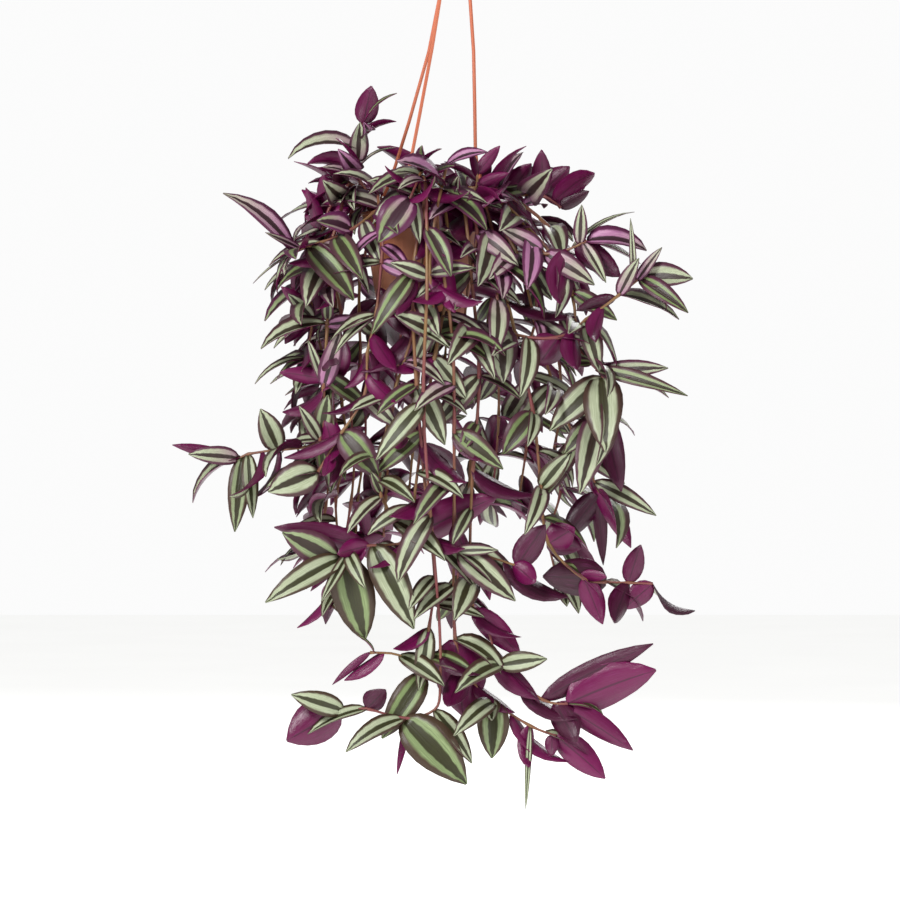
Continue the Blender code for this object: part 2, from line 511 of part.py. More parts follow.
# ---- hanger -------------------------------------------------------------------------------
def make_hook():
    steps = 16
    points = [Vector((0.5 * MM, 0, CROWN_TOP - 2 * MM)), Vector((0.5 * MM, 0, -30 * MM))]
    for index in range(steps + 1):
        angle = math.radians(-50 + 265 * index / steps)
        points.append(Vector((HOOK_RADIUS * math.cos(angle), 0,
                              HOOK_CENTRE_Z + HOOK_RADIUS * math.sin(angle))))
    orange = finish("orange_plastic", ORANGE_CLIP, 0.45)
    hook = to_object("hanger_hook", tube(points, HOOK_WIRE, 1), parts, orange)
    bm = bmesh.new()
    bmesh.ops.create_cone(bm, cap_ends=True, segments=16, radius1=CROWN_RADIUS,
                          radius2=CROWN_RADIUS * 0.75, depth=CROWN_HEIGHT)
    bmesh.ops.translate(bm, verts=bm.verts, vec=(0, 0, CROWN_TOP - CROWN_HEIGHT / 2))
    cut_or_join(hook, to_object("crown_block", bm, guides), "UNION")
    return hook


def clip_body(degrees):
    """The clip at the foot of an arm: a C that grips the rim from both sides."""
    profile = [(73, -5.8), (73, 3), (72.4, 9), (71.4, 14), (65.4, 14), (62.6, 9), (61.5, 3),
               (60.4, -8), (62, -8), (63.7, 0.3), (70.3, 0.3), (70.3, -3.3), (67.2, -3.3),
               (67.2, -5.8)]
    bm = bmesh.new()
    face = bm.faces.new([bm.verts.new((radius * MM, -CLIP_WIDTH / 2, z * MM))
                         for radius, z in profile])
    swept = bmesh.ops.extrude_face_region(bm, geom=[face])
    moved = [item for item in swept["geom"] if isinstance(item, bmesh.types.BMVert)]
    bmesh.ops.translate(bm, verts=moved, vec=(0, CLIP_WIDTH, 0))
    bmesh.ops.recalc_face_normals(bm, faces=bm.faces)
    angle = math.radians(degrees)
    for vert in bm.verts:
        x, y, z = vert.co
        vert.co = (POT_AXIS_X + x * math.cos(angle) - y * math.sin(angle),
                   x * math.sin(angle) + y * math.cos(angle), RIM_Z + z)
    return bm


# name: (angle of its clip round the pot, middle of the strand in cm)
ARMS = {
    "hanger_arm_left": (133, [(-7.1, 4.6, 29.9), (-2.9, 1.9, 16), (-1.0, 0.8, 6)]),
    "hanger_arm_front": (253, [(-5.2, -6.4, 30.6), (-2.5, -2.9, 16), (-0.9, -0.9, 6)]),
    "hanger_arm_right": (13, [(2.7, 1.4, 29.5), (2.25, 1.2, 27), (2.05, 0.9, 16),
                              (1.2, 0.4, 6)]),
}


def make_arm(name, degrees, middle):
    foot = [on_pot(68.2 * MM, degrees + 0.3, RIM_Z + 7.3 * MM),
            on_pot(68.4 * MM, degrees, RIM_Z + 20 * MM)]
    angle = math.radians(degrees)
    crown = Vector((ARM_CIRCLE * math.cos(angle), ARM_CIRCLE * math.sin(angle), 0))
    below = CROWN_TOP - CROWN_HEIGHT - GAP
    head = [crown + Vector((0, 0, below - 6 * MM)), crown + Vector((0, 0, below))]
    route = foot[1:] + [at(point) for point in middle] + head[:1]
    points = foot[:1] + smooth_route(route) + head[1:]
    arm = to_object(name, tube(points, ARM_RADIUS, 1), parts,
                    finish("orange_strand", ORANGE_CLIP, 0.45))
    cut_or_join(arm, to_object(name + "_clip", clip_body(degrees), guides), "UNION")
    return arm


# ---- vines --------------------------------------------------------------------------------
def shifted_route(route, shift):
    """The vine's route in metres, its root on the soil and the rest moved by the shift."""
    move = Vector(shift) * MM
    root, *rest = [at(point) for point in over_rim(route)]
    root.z = RIM_Z - SOIL_DEPTH + GAP
    collar = root + Vector((0, 0, COLLAR))
    return [root] + smooth_route([collar] + [point + move for point in rest])


def walk_back(points, start, distance):
    """The place on a route this far before the point nearest to start."""
    index = min(range(len(points)), key=lambda i: (points[i] - start).length)
    here = points[index]
    while index > 0 and (points[index - 1] - here).length < distance:
        distance -= (points[index - 1] - here).length
        index -= 1
        here = points[index]
    if index == 0:
        return here
    return here + (points[index - 1] - here).normalized() * distance


def is_one_body(bm):
    """True where the surface is closed and all in one piece."""
    if any(len(edge.link_faces) != 2 for edge in bm.edges):
        return False
    bm.faces.ensure_lookup_table()
    seen, todo = {bm.faces[0]}, [bm.faces[0]]
    while todo:
        for edge in todo.pop().edges:
            for face in edge.link_faces:
                if face not in seen:
                    seen.add(face)
                    todo.append(face)
    return len(seen) == len(bm.faces)


def place_stems(vines, fixed):
    """Give every vine the first route that clears the pot, the hanger and the others."""
    placed = {}
    for name, (route, leaves) in vines.items():
        others = fixed + [stem["tree"] for stem in placed.values()]
        for shift in STEM_SHIFTS:
            points = shifted_route(route, shift)
            if is_clear(tree_of(tube(points[1:], STEM_RADIUS + STEM_GUARD, 0)), others):
                bm = tube(points, STEM_RADIUS, 0)
                placed[name] = {"shift": Vector(shift) * MM, "points": points, "bm": bm,
                                "tree": tree_of(bm), "leaves": [], "trees": []}
                break
        else:
            print("no room for", name)
    return placed


def grow_leaf(vine, base, tip, width, up, bend, others):
    """Add the leaf to its vine at the first tip position that meets nothing."""
    for step in TIP_SHIFTS:
        end = tip + Vector((0, step * MM, 0))
        root = base - (end - base).normalized() * STEM_RADIUS * 0.6
        guard = leaf_body(root, end, width * GUARD_WIDTH, up, bend, GUARD_THICKNESS)
        if is_clear(tree_of(guard), others + vine["trees"]):
            bm = leaf_body(root, end, width, up, bend, LEAF_THICKNESS)
            if join_leaves(vine, vine["leaves"] + [bm]):
                vine["leaves"].append(bm)
                vine["trees"].append(tree_of(bm))
                return


def join_leaves(vine, leaves):
    """Set the leaves as the tool that the stem's Boolean joins; True if one body comes out."""
    mesh = bpy.data.meshes.new("blades")
    merged(leaves).to_mesh(mesh)
    vine["tool"].data = mesh
    return is_one_body(evaluated_bmesh(vine["stem"]))


def make_vines(vines, fixed):
    """Place every stem first, then every leaf that finds room."""
    purple = finish("leaf_purple", LEAF_PURPLE, 0.4)
    silver = finish("leaf_silver", LEAF_SILVER, 0.4)
    placed = place_stems(vines, fixed)
    for name, vine in placed.items():
        route, leaves = vines[name]
        material = silver if name.startswith("vine_back") else purple
        vine["stem"] = to_object(name, vine["bm"], parts, material)
        vine["tool"] = to_object(name + "_leaves", bmesh.new(), guides)
        cut_or_join(vine["stem"], vine["tool"], "UNION", several=True)
        others = list(fixed)
        for other in placed:
            if other != name:
                others += [placed[other]["tree"]] + placed[other]["trees"]
        used = {}
        for point, tip, width, up, bend in leaves:
            used[point] = used.get(point, -1) + 1
            joint = at(route[point]) + vine["shift"]
            base = walk_back(vine["points"], joint, LEAF_STEP * used[point])
            grow_leaf(vine, base, at(tip) + vine["shift"], width * CM, Vector(up), bend, others)
        join_leaves(vine, vine["leaves"])


for old in list(bpy.data.objects):
    bpy.data.objects.remove(old)
parts = new_collection("potted_tradescantia")
guides = new_collection("guides")
still = [make_pot(), make_soil(), make_hook()]
still += [make_arm(name, degrees, middle) for name, (degrees, middle) in ARMS.items()]
make_vines({**featured_vines(), **filler_vines()}, [tree_of(evaluated_bmesh(obj)) for obj in still])
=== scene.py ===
import math
import random
import bmesh
import bpy
import numpy as np
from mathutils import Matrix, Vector


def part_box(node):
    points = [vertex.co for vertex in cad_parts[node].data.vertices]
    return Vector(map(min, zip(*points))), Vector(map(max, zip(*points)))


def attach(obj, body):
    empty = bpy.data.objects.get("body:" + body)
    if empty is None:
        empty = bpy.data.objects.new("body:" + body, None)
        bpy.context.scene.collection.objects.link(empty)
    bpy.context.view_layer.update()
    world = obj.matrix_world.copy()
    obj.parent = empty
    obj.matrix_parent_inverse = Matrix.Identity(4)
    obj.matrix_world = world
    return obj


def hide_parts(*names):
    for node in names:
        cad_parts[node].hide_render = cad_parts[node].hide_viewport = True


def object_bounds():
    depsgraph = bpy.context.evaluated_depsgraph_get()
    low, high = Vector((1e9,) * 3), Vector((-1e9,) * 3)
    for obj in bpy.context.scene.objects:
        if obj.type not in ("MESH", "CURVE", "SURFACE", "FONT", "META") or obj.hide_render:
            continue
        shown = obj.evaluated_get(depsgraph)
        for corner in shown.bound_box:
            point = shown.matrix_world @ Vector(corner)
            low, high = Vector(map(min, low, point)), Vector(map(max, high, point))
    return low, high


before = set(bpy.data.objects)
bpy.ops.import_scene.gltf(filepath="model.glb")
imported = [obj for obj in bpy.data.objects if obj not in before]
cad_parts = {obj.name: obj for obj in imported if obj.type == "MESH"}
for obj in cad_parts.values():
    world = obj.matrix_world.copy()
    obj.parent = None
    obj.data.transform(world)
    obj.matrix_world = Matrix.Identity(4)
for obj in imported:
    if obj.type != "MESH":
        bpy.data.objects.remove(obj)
cad_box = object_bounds()
bpy.ops.object.select_all(action="DESELECT")

# == Pot ===================================================================================
# A thin-walled terracotta-coloured plastic growing pot with a rolled rim and drain holes in
# its base, moulded in one piece. It keeps its CAD shape; the colour is mottled by watering.


class Value:
    """A shader socket that Python's operators work on."""

    def __init__(self, network, socket):
        self.network, self.socket = network, socket

    def math(self, operation, *others):
        return self.network.node("ShaderNodeMath", {"operation": operation}, self, *others)

    def __add__(self, other):
        return self.math("ADD", other)

    def __mul__(self, other):
        return self.math("MULTIPLY", other)

    def __sub__(self, other):
        return self.math("SUBTRACT", other)

    def __rsub__(self, other):
        return self.network.node("ShaderNodeMath", {"operation": "SUBTRACT"}, other, self)

    __radd__ = __add__
    __rmul__ = __mul__

    def absolute(self):
        return self.math("ABSOLUTE")

    def above(self, low, high):
        """0 below low, 1 above high, smooth between."""
        return self.network.node("ShaderNodeMapRange", {"interpolation_type": "SMOOTHSTEP"},
                                 self, low, high, 0.0, 1.0)


class Network:
    """A node tree, and the one way in which nodes are added to it."""

    def __init__(self, tree):
        self.tree = tree

    def node(self, kind, settings, *inputs, out=0, **named):
        node = self.tree.nodes.new(kind)
        for setting, value in settings.items():
            setattr(node, setting, value)
        sockets = list(zip(node.inputs, inputs))
        sockets += [(node.inputs[name.replace("_", " ")], value) for name, value in named.items()]
        for socket, value in sockets:
            if isinstance(value, Value):
                self.tree.links.new(value.socket, socket)
            elif value is not None:
                socket.default_value = value
        return Value(self, node.outputs[out])


class Finish(Network):
    """A material with its principled shader."""

    def __init__(self, name, **constants):
        self.material = bpy.data.materials.new(name)
        self.material.use_nodes = True
        super().__init__(self.material.node_tree)
        self.shader = self.tree.nodes["Principled BSDF"]
        for socket, value in constants.items():
            self.shader.inputs[socket.replace("_", " ")].default_value = value

    def mix(self, factor, a, b):
        """Colour a where the factor is 0 and b where it is 1, past the sockets for numbers."""
        unset = (None,) * 5
        return self.node("ShaderNodeMix", {"data_type": "RGBA"}, factor, *unset, a, b, out=2)

    def place(self, stretch=(1, 1, 1), source="Object"):
        """The place on the piece, or on its UV map, closer-set along the stretched axes."""
        where = self.node("ShaderNodeTexCoord", {}, out={"Object": 3, "UV": 2}[source])
        return self.node("ShaderNodeMapping", {}, where, None, None, stretch)

    def noise(self, scale, stretch=(1, 1, 1), detail=3.0, source="Object"):
        return self.node("ShaderNodeTexNoise", {}, Vector=self.place(stretch, source),
                         Scale=scale, Detail=detail)

    def tag(self, name):
        """A number that the mesh carries."""
        return self.node("ShaderNodeAttribute", {"attribute_name": name}, out=2)

    def set(self, socket, value):
        self.tree.links.new(value.socket, self.shader.inputs[socket])

    def bump(self, height, strength, distance):
        self.set("Normal", self.node("ShaderNodeBump", {}, Strength=strength, Distance=distance,
                                     Height=height))


def dress(node, finish):
    """Give a CAD node this finish."""
    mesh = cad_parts[node].data
    mesh.materials.clear()
    mesh.materials.append(finish.material)


pot_low, pot_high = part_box("pot")
pot_paint = Finish("pot_terracotta_plastic", Roughness=0.45, IOR=1.46)
blotches = pot_paint.noise(38.0)
lime = pot_paint.noise(9.0, (1, 1, 0.4)).above(0.52, 0.72) * blotches.above(0.4, 0.7)
warm = pot_paint.mix(blotches, (0.33, 0.105, 0.05, 1), (0.42, 0.15, 0.075, 1))
pot_paint.set("Base Color", pot_paint.mix(lime * 0.35, warm, (0.5, 0.42, 0.36, 1)))
pot_paint.set("Roughness", lime * 0.3 + 0.42)
pot_paint.bump(pot_paint.noise(900.0), 0.15, 0.0003)
dress("pot", pot_paint)

# == Soil ==================================================================================
# Peat-based potting soil, dark and crumbly, with pale flecks of perlite. It fills the pot to
# a finger's width below the rim.
soil_paint = Finish("soil_peat", Roughness=0.95)
crumbs = soil_paint.noise(260.0, detail=6.0)
perlite = soil_paint.noise(420.0).above(0.66, 0.7)
peat = soil_paint.mix(crumbs, (0.012, 0.007, 0.004, 1), (0.09, 0.055, 0.035, 1))
soil_paint.set("Base Color", soil_paint.mix(perlite, peat, (0.55, 0.52, 0.46, 1)))
soil_paint.bump(crumbs + perlite * 0.4, 0.9, 0.004)
dress("soil", soil_paint)

# == Hanger ================================================================================
# One hook with a crown block, and three flexible moulded strands that end in clips gripping
# the pot's rim. All of it is orange plastic, the strands paler than the clips at their feet.
CLIP_TOP = -0.326
STRAND_FOOT = -0.319
hook_paint = Finish("hanger_orange_plastic", Roughness=0.38, IOR=1.47)
scuffs = hook_paint.noise(120.0, (1, 1, 0.15))
base = hook_paint.mix(scuffs, (0.58, 0.1, 0.04, 1), (0.68, 0.16, 0.07, 1))
hook_paint.set("Base Color", base)
hook_paint.set("Roughness", scuffs * 0.2 + 0.3)
hook_paint.bump(hook_paint.noise(1500.0), 0.1, 0.0002)
dress("hanger_hook", hook_paint)

strand_paint = Finish("strand_orange_plastic", Roughness=0.42, IOR=1.47)
height = strand_paint.node("ShaderNodeSeparateXYZ", {}, strand_paint.place(), out=2)
strand = height.above(CLIP_TOP, STRAND_FOOT)
mottled = strand_paint.noise(90.0, (1, 1, 0.2))
clip_colour = strand_paint.mix(mottled, (0.6, 0.075, 0.02, 1), (0.72, 0.12, 0.035, 1))
strand_colour = strand_paint.mix(mottled, (0.47, 0.105, 0.045, 1), (0.55, 0.17, 0.09, 1))
strand_paint.set("Base Color", strand_paint.mix(strand, clip_colour, strand_colour))
strand_paint.bump(strand_paint.noise(1200.0), 0.1, 0.0002)
for name in ("hanger_arm_left", "hanger_arm_front", "hanger_arm_right"):
    dress(name, strand_paint)

# == Vines =================================================================================
# Jointed stems that root in the soil, climb over the rim and trail. Each joint bears one or
# more pointed leaves. The routes are those of the CAD solids, in centimetres as (x, y, depth
# below the hook), and each vine has one piece of leaves and one stem.
MM = 0.001
CM = 0.01
GAP = 0.3 * MM
POT_AXIS_X = (pot_low[0] + pot_high[0]) / 2
RIM_Z = pot_high[2]
SOIL_DEPTH = 13 * MM
COLLAR = 7 * MM
STEM_RADIUS = 2.2 * MM

# The upper side of a leaf turns this way: F front, B back, T up, L left, R right.
FACING = {
    "F": (0, -1, 0.25), "B": (0, 1, 0.25), "T": (0, -0.5, 1), "TB": (0, 0.7, 1),
    "L": (-1, -0.6, 0.1), "R": (1, -0.6, 0.1), "LB": (-1, 0.6, 0.1), "RB": (1, 0.6, 0.1),
    "TF": (0, -1, 0.6), "TL": (-0.3, -1, 0.5), "TR": (0.5, -0.8, 0.6),
}
# A leaf tip hangs this far in front of (-) or behind (+) the joint it grows from, in cm.
TIP_FORWARD = {"F": -1.3, "B": -0.6, "T": -1.2, "TB": 0.6, "L": -0.4, "R": -0.4,
               "LB": 0.5, "RB": 0.5, "TF": -1.4, "TL": -1.2, "TR": -1.0}

# name: (route in cm, leaves), a leaf being (route point, tip x, tip depth, width, facing, bend)
VINES = {
    "vine_crown_left": (
        [(-7.2, -2.6, 35.2), (-8.8, -3.4, 32.6), (-10.4, -4, 30.6), (-10.6, -4, 28.5),
         (-10.3, -4, 26), (-10, -4, 24.4)],
        [(5, -9.1, 20.3, 2.7, "B", 25), (5, -6.3, 21.3, 1.1, "T", 50),
         (4, -6.4, 24.1, 1.7, "TB", 80), (3, -10.3, 24.3, 2.3, "F", 35),
         (3, -12.9, 26.2, 1.3, "T", 20), (3, -6.4, 27.1, 1.1, "T", 60),
         (3, -16.1, 28.7, 2.3, "TB", 90), (2, -14.4, 29.2, 1.9, "T", 50),
         (2, -13.9, 30.4, 2.8, "B", 30), (2, -9.2, 30.6, 1.3, "RB", 40)]),
    "vine_crown_left_low": (
        [(-6.6, -0.4, 35.2), (-8.9, -1, 32.9), (-11.6, -1.8, 31.6), (-13.6, -2.4, 33.2),
         (-14.5, -2.8, 35.9)],
        [(3, -14.5, 29.9, 2.6, "B", 15), (2, -16.1, 30.7, 1.2, "TB", 80),
         (4, -16.3, 31.3, 1.6, "B", 20), (4, -16.5, 34.3, 1.5, "B", 10)]),
    "vine_left_wing": (
        [(-5.8, -3.4, 35.2), (-7.4, -6.4, 33.0), (-8.8, -7.8, 34.3), (-11.2, -8.8, 36.2),
         (-14.4, -9.4, 37.6), (-17.4, -10, 38.6)],
        [(5, -24.9, 32.4, 2.8, "TR", 60), (5, -24.8, 34.3, 3.4, "F", 30),
         (5, -20.3, 36.7, 1.0, "F", 10), (5, -19, 42.3, 3.4, "TL", 70),
         (5, -10.9, 43.9, 3.6, "TF", 45), (4, -9.3, 43.2, 3.3, "TR", 60),
         (4, -17.3, 36.9, 2.6, "F", 20), (3, -14.9, 35.3, 2.9, "TF", 50),
         (2, -6.0, 30.1, 2.7, "F", 40), (5, -21.8, 42, 0.9, "T", 30)]),
    "vine_front_left": (
        [(-7, -4.3, 35.2), (-7.8, -7.8, 33.2), (-7.3, -10.5, 37), (-7.4, -11, 40.3),
         (-8, -11.2, 46), (-8.9, -11.4, 50), (-9.2, -11.6, 54.6), (-11.6, -11.8, 58.5),
         (-14.2, -11.6, 62.8)],
        [(3, -2.5, 42.5, 2.0, "F", 40), (5, -8, 53.9, 1.9, "B", 30),
         (8, -19.5, 64.9, 3.8, "F", 30), (6, -5.7, 58, 2.2, "F", 40),
         (7, -7.7, 63.3, 3.6, "F", 40), (4, -12.4, 50.2, 2.0, "L", 40)]),
    "vine_far_left": (
        [(-8.6, -1, 35.2), (-11.6, -3, 34.6), (-13.4, -6, 40), (-13.8, -8, 46.4),
         (-14.2, -8.6, 53.2), (-14.6, -8.4, 58.9), (-19.2, -7.2, 59.9), (-22.4, -6.8, 60.4),
         (-23.8, -6.8, 61.1)],
        [(8, -30.6, 59.4, 1.5, "B", 30), (8, -28.8, 60.4, 2.2, "F", 30),
         (8, -23.8, 68.8, 2.5, "F", 30), (7, -21.8, 67.3, 1.9, "F", 40),
         (6, -21, 55.5, 2.9, "F", 30), (6, -17.9, 55.4, 1.8, "L", 30),
         (4, -12.3, 46.9, 2.3, "F", 30), (4, -15.9, 48, 1.2, "F", 30),
         (4, -18.9, 51.6, 1.9, "B", 40), (4, -9.5, 55.4, 2.2, "F", 40),
         (5, -16.8, 55.2, 1.7, "F", 30), (5, -20.1, 61.3, 2.2, "F", 40),
         (5, -13.7, 54, 2.3, "F", 30), (5, -14.4, 62.7, 1.7, "F", 20),
         (3, -9, 46.1, 1.8, "F", 30), (3, -13.7, 43.1, 1.4, "F", 30)]),
    "vine_left_upper": (
        [(-7.6, 1.5, 35.2), (-10.4, 0.6, 33.2), (-14.2, -2.2, 36.8), (-15.8, -4.4, 41),
         (-15.5, -5, 45.7), (-16.2, -5.2, 50)],
        [(4, -18.1, 43, 1.9, "F", 30), (4, -18.9, 42.2, 1.7, "B", 30),
         (4, -19.1, 48.1, 1.1, "T", 90), (4, -16.3, 49.3, 1.3, "F", 30),
         (4, -18.5, 48.4, 2.4, "B", 40), (5, -21.7, 52.8, 1.3, "T", 60),
         (5, -16.8, 54.4, 1.8, "F", 30)]),
    "vine_lower_left": (
        [(-4.4, -5.2, 35.2), (-3.2, -8.8, 33.3), (-3.6, -11.2, 40), (-4.4, -11.4, 47),
         (-6.6, -11.6, 54), (-7.8, -12, 61), (-7.9, -12.4, 65), (-5.4, -12.8, 69.6),
         (-9.6, -13, 70.2), (-12.6, -13.2, 71.8)],
        [(6, -11.2, 67.3, 1.5, "F", 30), (6, -9, 62.2, 1.3, "F", 30),
         (6, -1.4, 65.5, 3.8, "F", 40), (7, 4.6, 64.9, 4.2, "B", 40),
         (8, -19.3, 68.2, 2.8, "B", 30), (8, -12.5, 71, 2.2, "B", 30),
         (9, -18.4, 68.7, 3.6, "F", 30), (9, -20.1, 76.1, 3.0, "F", 50),
         (9, -9.7, 80.3, 4.8, "F", 40), (8, -4.4, 79, 4.0, "F", 40),
         (9, -14.2, 76, 1.3, "F", 20), (9, -15.4, 75, 1.2, "B", 80),
         (8, -6, 71.5, 2.2, "F", 30)]),
    "vine_lower_cross": (
        [(-2, -5.4, 35.2), (-1.2, -9, 33.2), (-0.6, -11.8, 41), (-2.2, -12.2, 50),
         (-3.4, -12.6, 58), (-4.4, -13.4, 66), (-3.6, -13.8, 69.6), (0.4, -14, 70.8),
         (3.4, -14, 71.3), (6.6, -14, 72.3)],
        [(6, 1.2, 77, 4.6, "F", 40), (7, 6.4, 76, 3.4, "F", 30), (7, 4.6, 70.6, 1.4, "F", 20),
         (8, 2.9, 63, 3.4, "TR", 80), (9, 9.6, 67.9, 3.0, "B", 30), (9, 8.5, 74, 2.4, "B", 30),
         (4, -8.5, 62.5, 2.4, "F", 40), (3, 1.2, 54.6, 2.2, "F", 40)]),
    "vine_right_low": (
        [(-0.4, -3.4, 35.2), (2.4, -7.4, 33.6), (4.6, -9.6, 40), (6.6, -10.4, 48),
         (8.4, -11, 56), (9.2, -11.4, 64), (10, -11.6, 70), (13.8, -11.4, 73.7),
         (16.2, -11.2, 74.1), (18.6, -11, 74.2), (21.2, -10.8, 74.3)],
        [(8, 9.4, 73.5, 4.4, "B", 40), (6, 12.8, 68.3, 3.2, "B", 30),
         (6, 13.6, 70.5, 3.2, "B", 30), (7, 15.8, 78.6, 2.6, "B", 30),
         (7, 16.2, 73.5, 1.4, "B", 20), (9, 19.9, 70.1, 2.3, "B", 20),
         (10, 18.1, 77, 2.6, "B", 30), (10, 27.6, 71, 3.7, "B", 20),
         (10, 26.8, 76.8, 1.9, "B", 30), (4, 5.1, 60.4, 3.0, "F", 40),
         (5, 12.4, 60.2, 2.4, "F", 40), (5, 11, 69, 2.2, "F", 30)]),
    "vine_low_right": (
        [(-1.8, -4.9, 35.2), (0.9, -9.6, 33.8), (1.8, -11, 42), (2.6, -11.4, 52),
         (1.9, -11.8, 62), (1.6, -12.4, 70), (1.9, -12.8, 77), (3.6, -13, 79.4),
         (4.8, -13.2, 82.9), (9.3, -13.4, 86.6), (12, -13.4, 87)],
        [(10, 21.4, 83.4, 5.0, "B", 40), (9, 21.1, 80.6, 2.6, "B", 30),
         (10, 23.6, 85.6, 2.4, "B", 30), (10, 18.9, 91.9, 2.8, "B", 30),
         (10, 12.9, 91, 3.2, "B", 30), (8, 9.8, 82.2, 2.4, "F", 30),
         (8, 9.1, 87, 1.5, "B", 20), (6, 7, 81.9, 2.8, "B", 30), (3, -2.6, 58, 2.6, "F", 40),
         (4, -1, 67.4, 2.8, "T", 60)]),
    "vine_bottom_centre": (
        [(-2.6, -3.6, 35.2), (-1.6, -9.4, 31.9), (-1.2, -13, 38), (0.2, -13.4, 48),
         (0.4, -13.2, 58), (0.4, -12.6, 68), (0.5, -12.4, 80.2), (2.6, -12.4, 85),
         (4.6, -12.8, 86.9), (8.5, -13, 89.4), (11.3, -13, 90.5)],
        [(6, 1.4, 88.4, 6.0, "B", 20), (8, 4.4, 92.8, 3.6, "F", 30), (8, 4.4, 88.8, 2.2, "F", 20),
         (9, 8, 98.3, 0.7, "F", 20), (10, 16.5, 95, 3.2, "B", 30), (10, 10.8, 92.6, 1.6, "B", 30),
         (4, 5.6, 62, 2.6, "F", 40), (5, -4.6, 73, 2.4, "F", 40)]),
    "vine_bottom_left": (
        [(-4.2, -3, 35.2), (-2.2, -10.4, 32.2), (-2, -14.4, 44), (-2.4, -14.2, 56),
         (-1.6, -13.6, 68), (-0.7, -13.2, 79), (-0.6, -13.4, 86), (-1.2, -13.6, 88.6),
         (-4.4, -13.8, 89.5), (-8.4, -13.6, 88.5), (-11.3, -13.4, 88.8)],
        [(10, -16.9, 91.9, 5.0, "B", 30), (9, -6.4, 86.4, 2.6, "B", 30),
         (8, 2.2, 96.4, 5.2, "F", 30), (8, -5.2, 95.5, 0.9, "B", 20),
         (10, -16.4, 86.9, 2.6, "F", 30), (3, -7.4, 62, 2.6, "F", 40)]),
    "vine_low_left": (
        [(-3.5, -5.8, 35.2), (-3.4, -9.2, 32.4), (-5, -12.6, 42), (-4.6, -13, 54),
         (-3.6, -12.6, 66), (-2.7, -12.2, 74.5), (-3.3, -12.2, 80), (-3.8, -12.2, 84.9),
         (-6.4, -12.4, 82.9), (-9.6, -12.4, 82.6)],
        [(6, -4.4, 86.6, 2.2, "F", 20), (7, -8.3, 91.7, 3.4, "F", 30), (9, -13.6, 86, 0.9, "B", 40),
         (9, -11, 80.7, 0.8, "T", 40), (3, -1.6, 60.4, 3.0, "F", 40),
         (2, -9.4, 48.6, 2.4, "F", 50)]),
    "vine_right_upper": (
        [(0.6, -3.2, 35.2), (3.4, -6.8, 33.8), (4.6, -10.6, 40), (5, -11.8, 46.8),
         (11, -12, 47.9), (14, -11.4, 46), (17.6, -10.6, 43.3), (20.2, -10, 41.2)],
        [(7, 25.5, 41.6, 3.0, "F", 30), (7, 24.9, 45.3, 2.2, "F", 40),
         (7, 22.2, 38.2, 1.3, "F", 30), (7, 18.8, 35.1, 0.8, "F", 70),
         (6, 19.7, 39.4, 1.8, "F", 30), (6, 13, 45, 1.6, "B", 30), (4, 9, 50.7, 4.0, "B", 30),
         (3, 5.1, 52.8, 3.6, "F", 30), (5, 15.4, 51.6, 2.4, "F", 40)]),
    "vine_right_mid": (
        [(1, 0.6, 35.2), (3.8, -1.8, 32.4), (9, -7, 37), (12.6, -9.4, 43), (13.2, -10.4, 49),
         (16, -11, 52.3), (15.4, -11.4, 56.4)],
        [(5, 10.1, 57.9, 3.6, "F", 40), (5, 16, 60.2, 4.4, "F", 30), (5, 22.8, 51.2, 2.2, "F", 30),
         (5, 24.8, 54.2, 1.9, "F", 30), (5, 20.8, 60.5, 2.8, "F", 30),
         (5, 12, 50.8, 1.2, "F", 30), (6, 11.6, 60.4, 2.6, "F", 40), (6, 13.2, 64.6, 3.6, "F", 30),
         (6, 17.8, 64.4, 3.0, "B", 30), (4, 16, 51, 2.0, "F", 30), (3, 17.4, 46, 2.2, "F", 40)]),
    "vine_right_shoulder": (
        [(-0.2, 1.4, 35.2), (2.6, -0.8, 31.6), (6.8, -5.4, 34.6), (9.7, -7.4, 38.8),
         (14.2, -8.4, 37.4)],
        [(4, 20.6, 38.5, 3.0, "TR", 70), (4, 16.2, 42, 1.6, "F", 30), (4, 13.6, 33.6, 1.6, "F", 30),
         (4, 17.8, 41.3, 3.0, "B", 40), (4, 19.4, 34.2, 1.0, "T", 50),
         (3, 15, 42.2, 2.6, "F", 50), (3, 4.8, 36, 2.2, "F", 30)]),
    "vine_crown_right": (
        [(-1.2, 3, 35.2), (1.6, 2.4, 31), (6, 0.6, 31.8), (9.6, -1.2, 32), (11.6, -1.8, 33.4)],
        [(3, 9.5, 27, 2.4, "B", 30), (2, 8.4, 28.4, 2.6, "B", 40), (3, 12.6, 28.8, 3.0, "B", 30),
         (4, 14.7, 31.6, 1.8, "B", 30), (2, 8.4, 36.2, 3.0, "B", 30), (1, 4, 28.2, 2.4, "B", 40)]),
    "vine_crown_mid": (
        [(-2.6, -1, 35.2), (0.2, -2.8, 33), (2.2, -3.4, 31.6), (2.4, -3.6, 29.8)],
        [(3, 4.9, 26.8, 1.5, "B", 30), (3, 1.6, 27.1, 0.9, "B", 20), (3, -1.6, 28.7, 1.2, "TB", 50),
         (3, 5.9, 29.7, 1.4, "B", 40), (1, -0.2, 36.9, 2.2, "F", 40), (2, -0.8, 34.8, 1.9, "F", 40)]),
    "vine_centre_front": (
        [(-3.2, -4.9, 35.2), (-2.6, -9.4, 31.4), (-3.8, -12.6, 34.6)],
        [(2, -7.2, 39.3, 3.9, "F", 40), (2, -2.8, 39.4, 1.8, "F", 30), (1, 2.2, 38.6, 2.4, "F", 40)]),
    "vine_centre_star": (
        [(-4.4, -1.6, 35.2), (-2.4, -9.6, 31.2), (-3.6, -13.6, 37), (-4.2, -14.4, 43.5),
         (-3.2, -14.6, 49.8)],
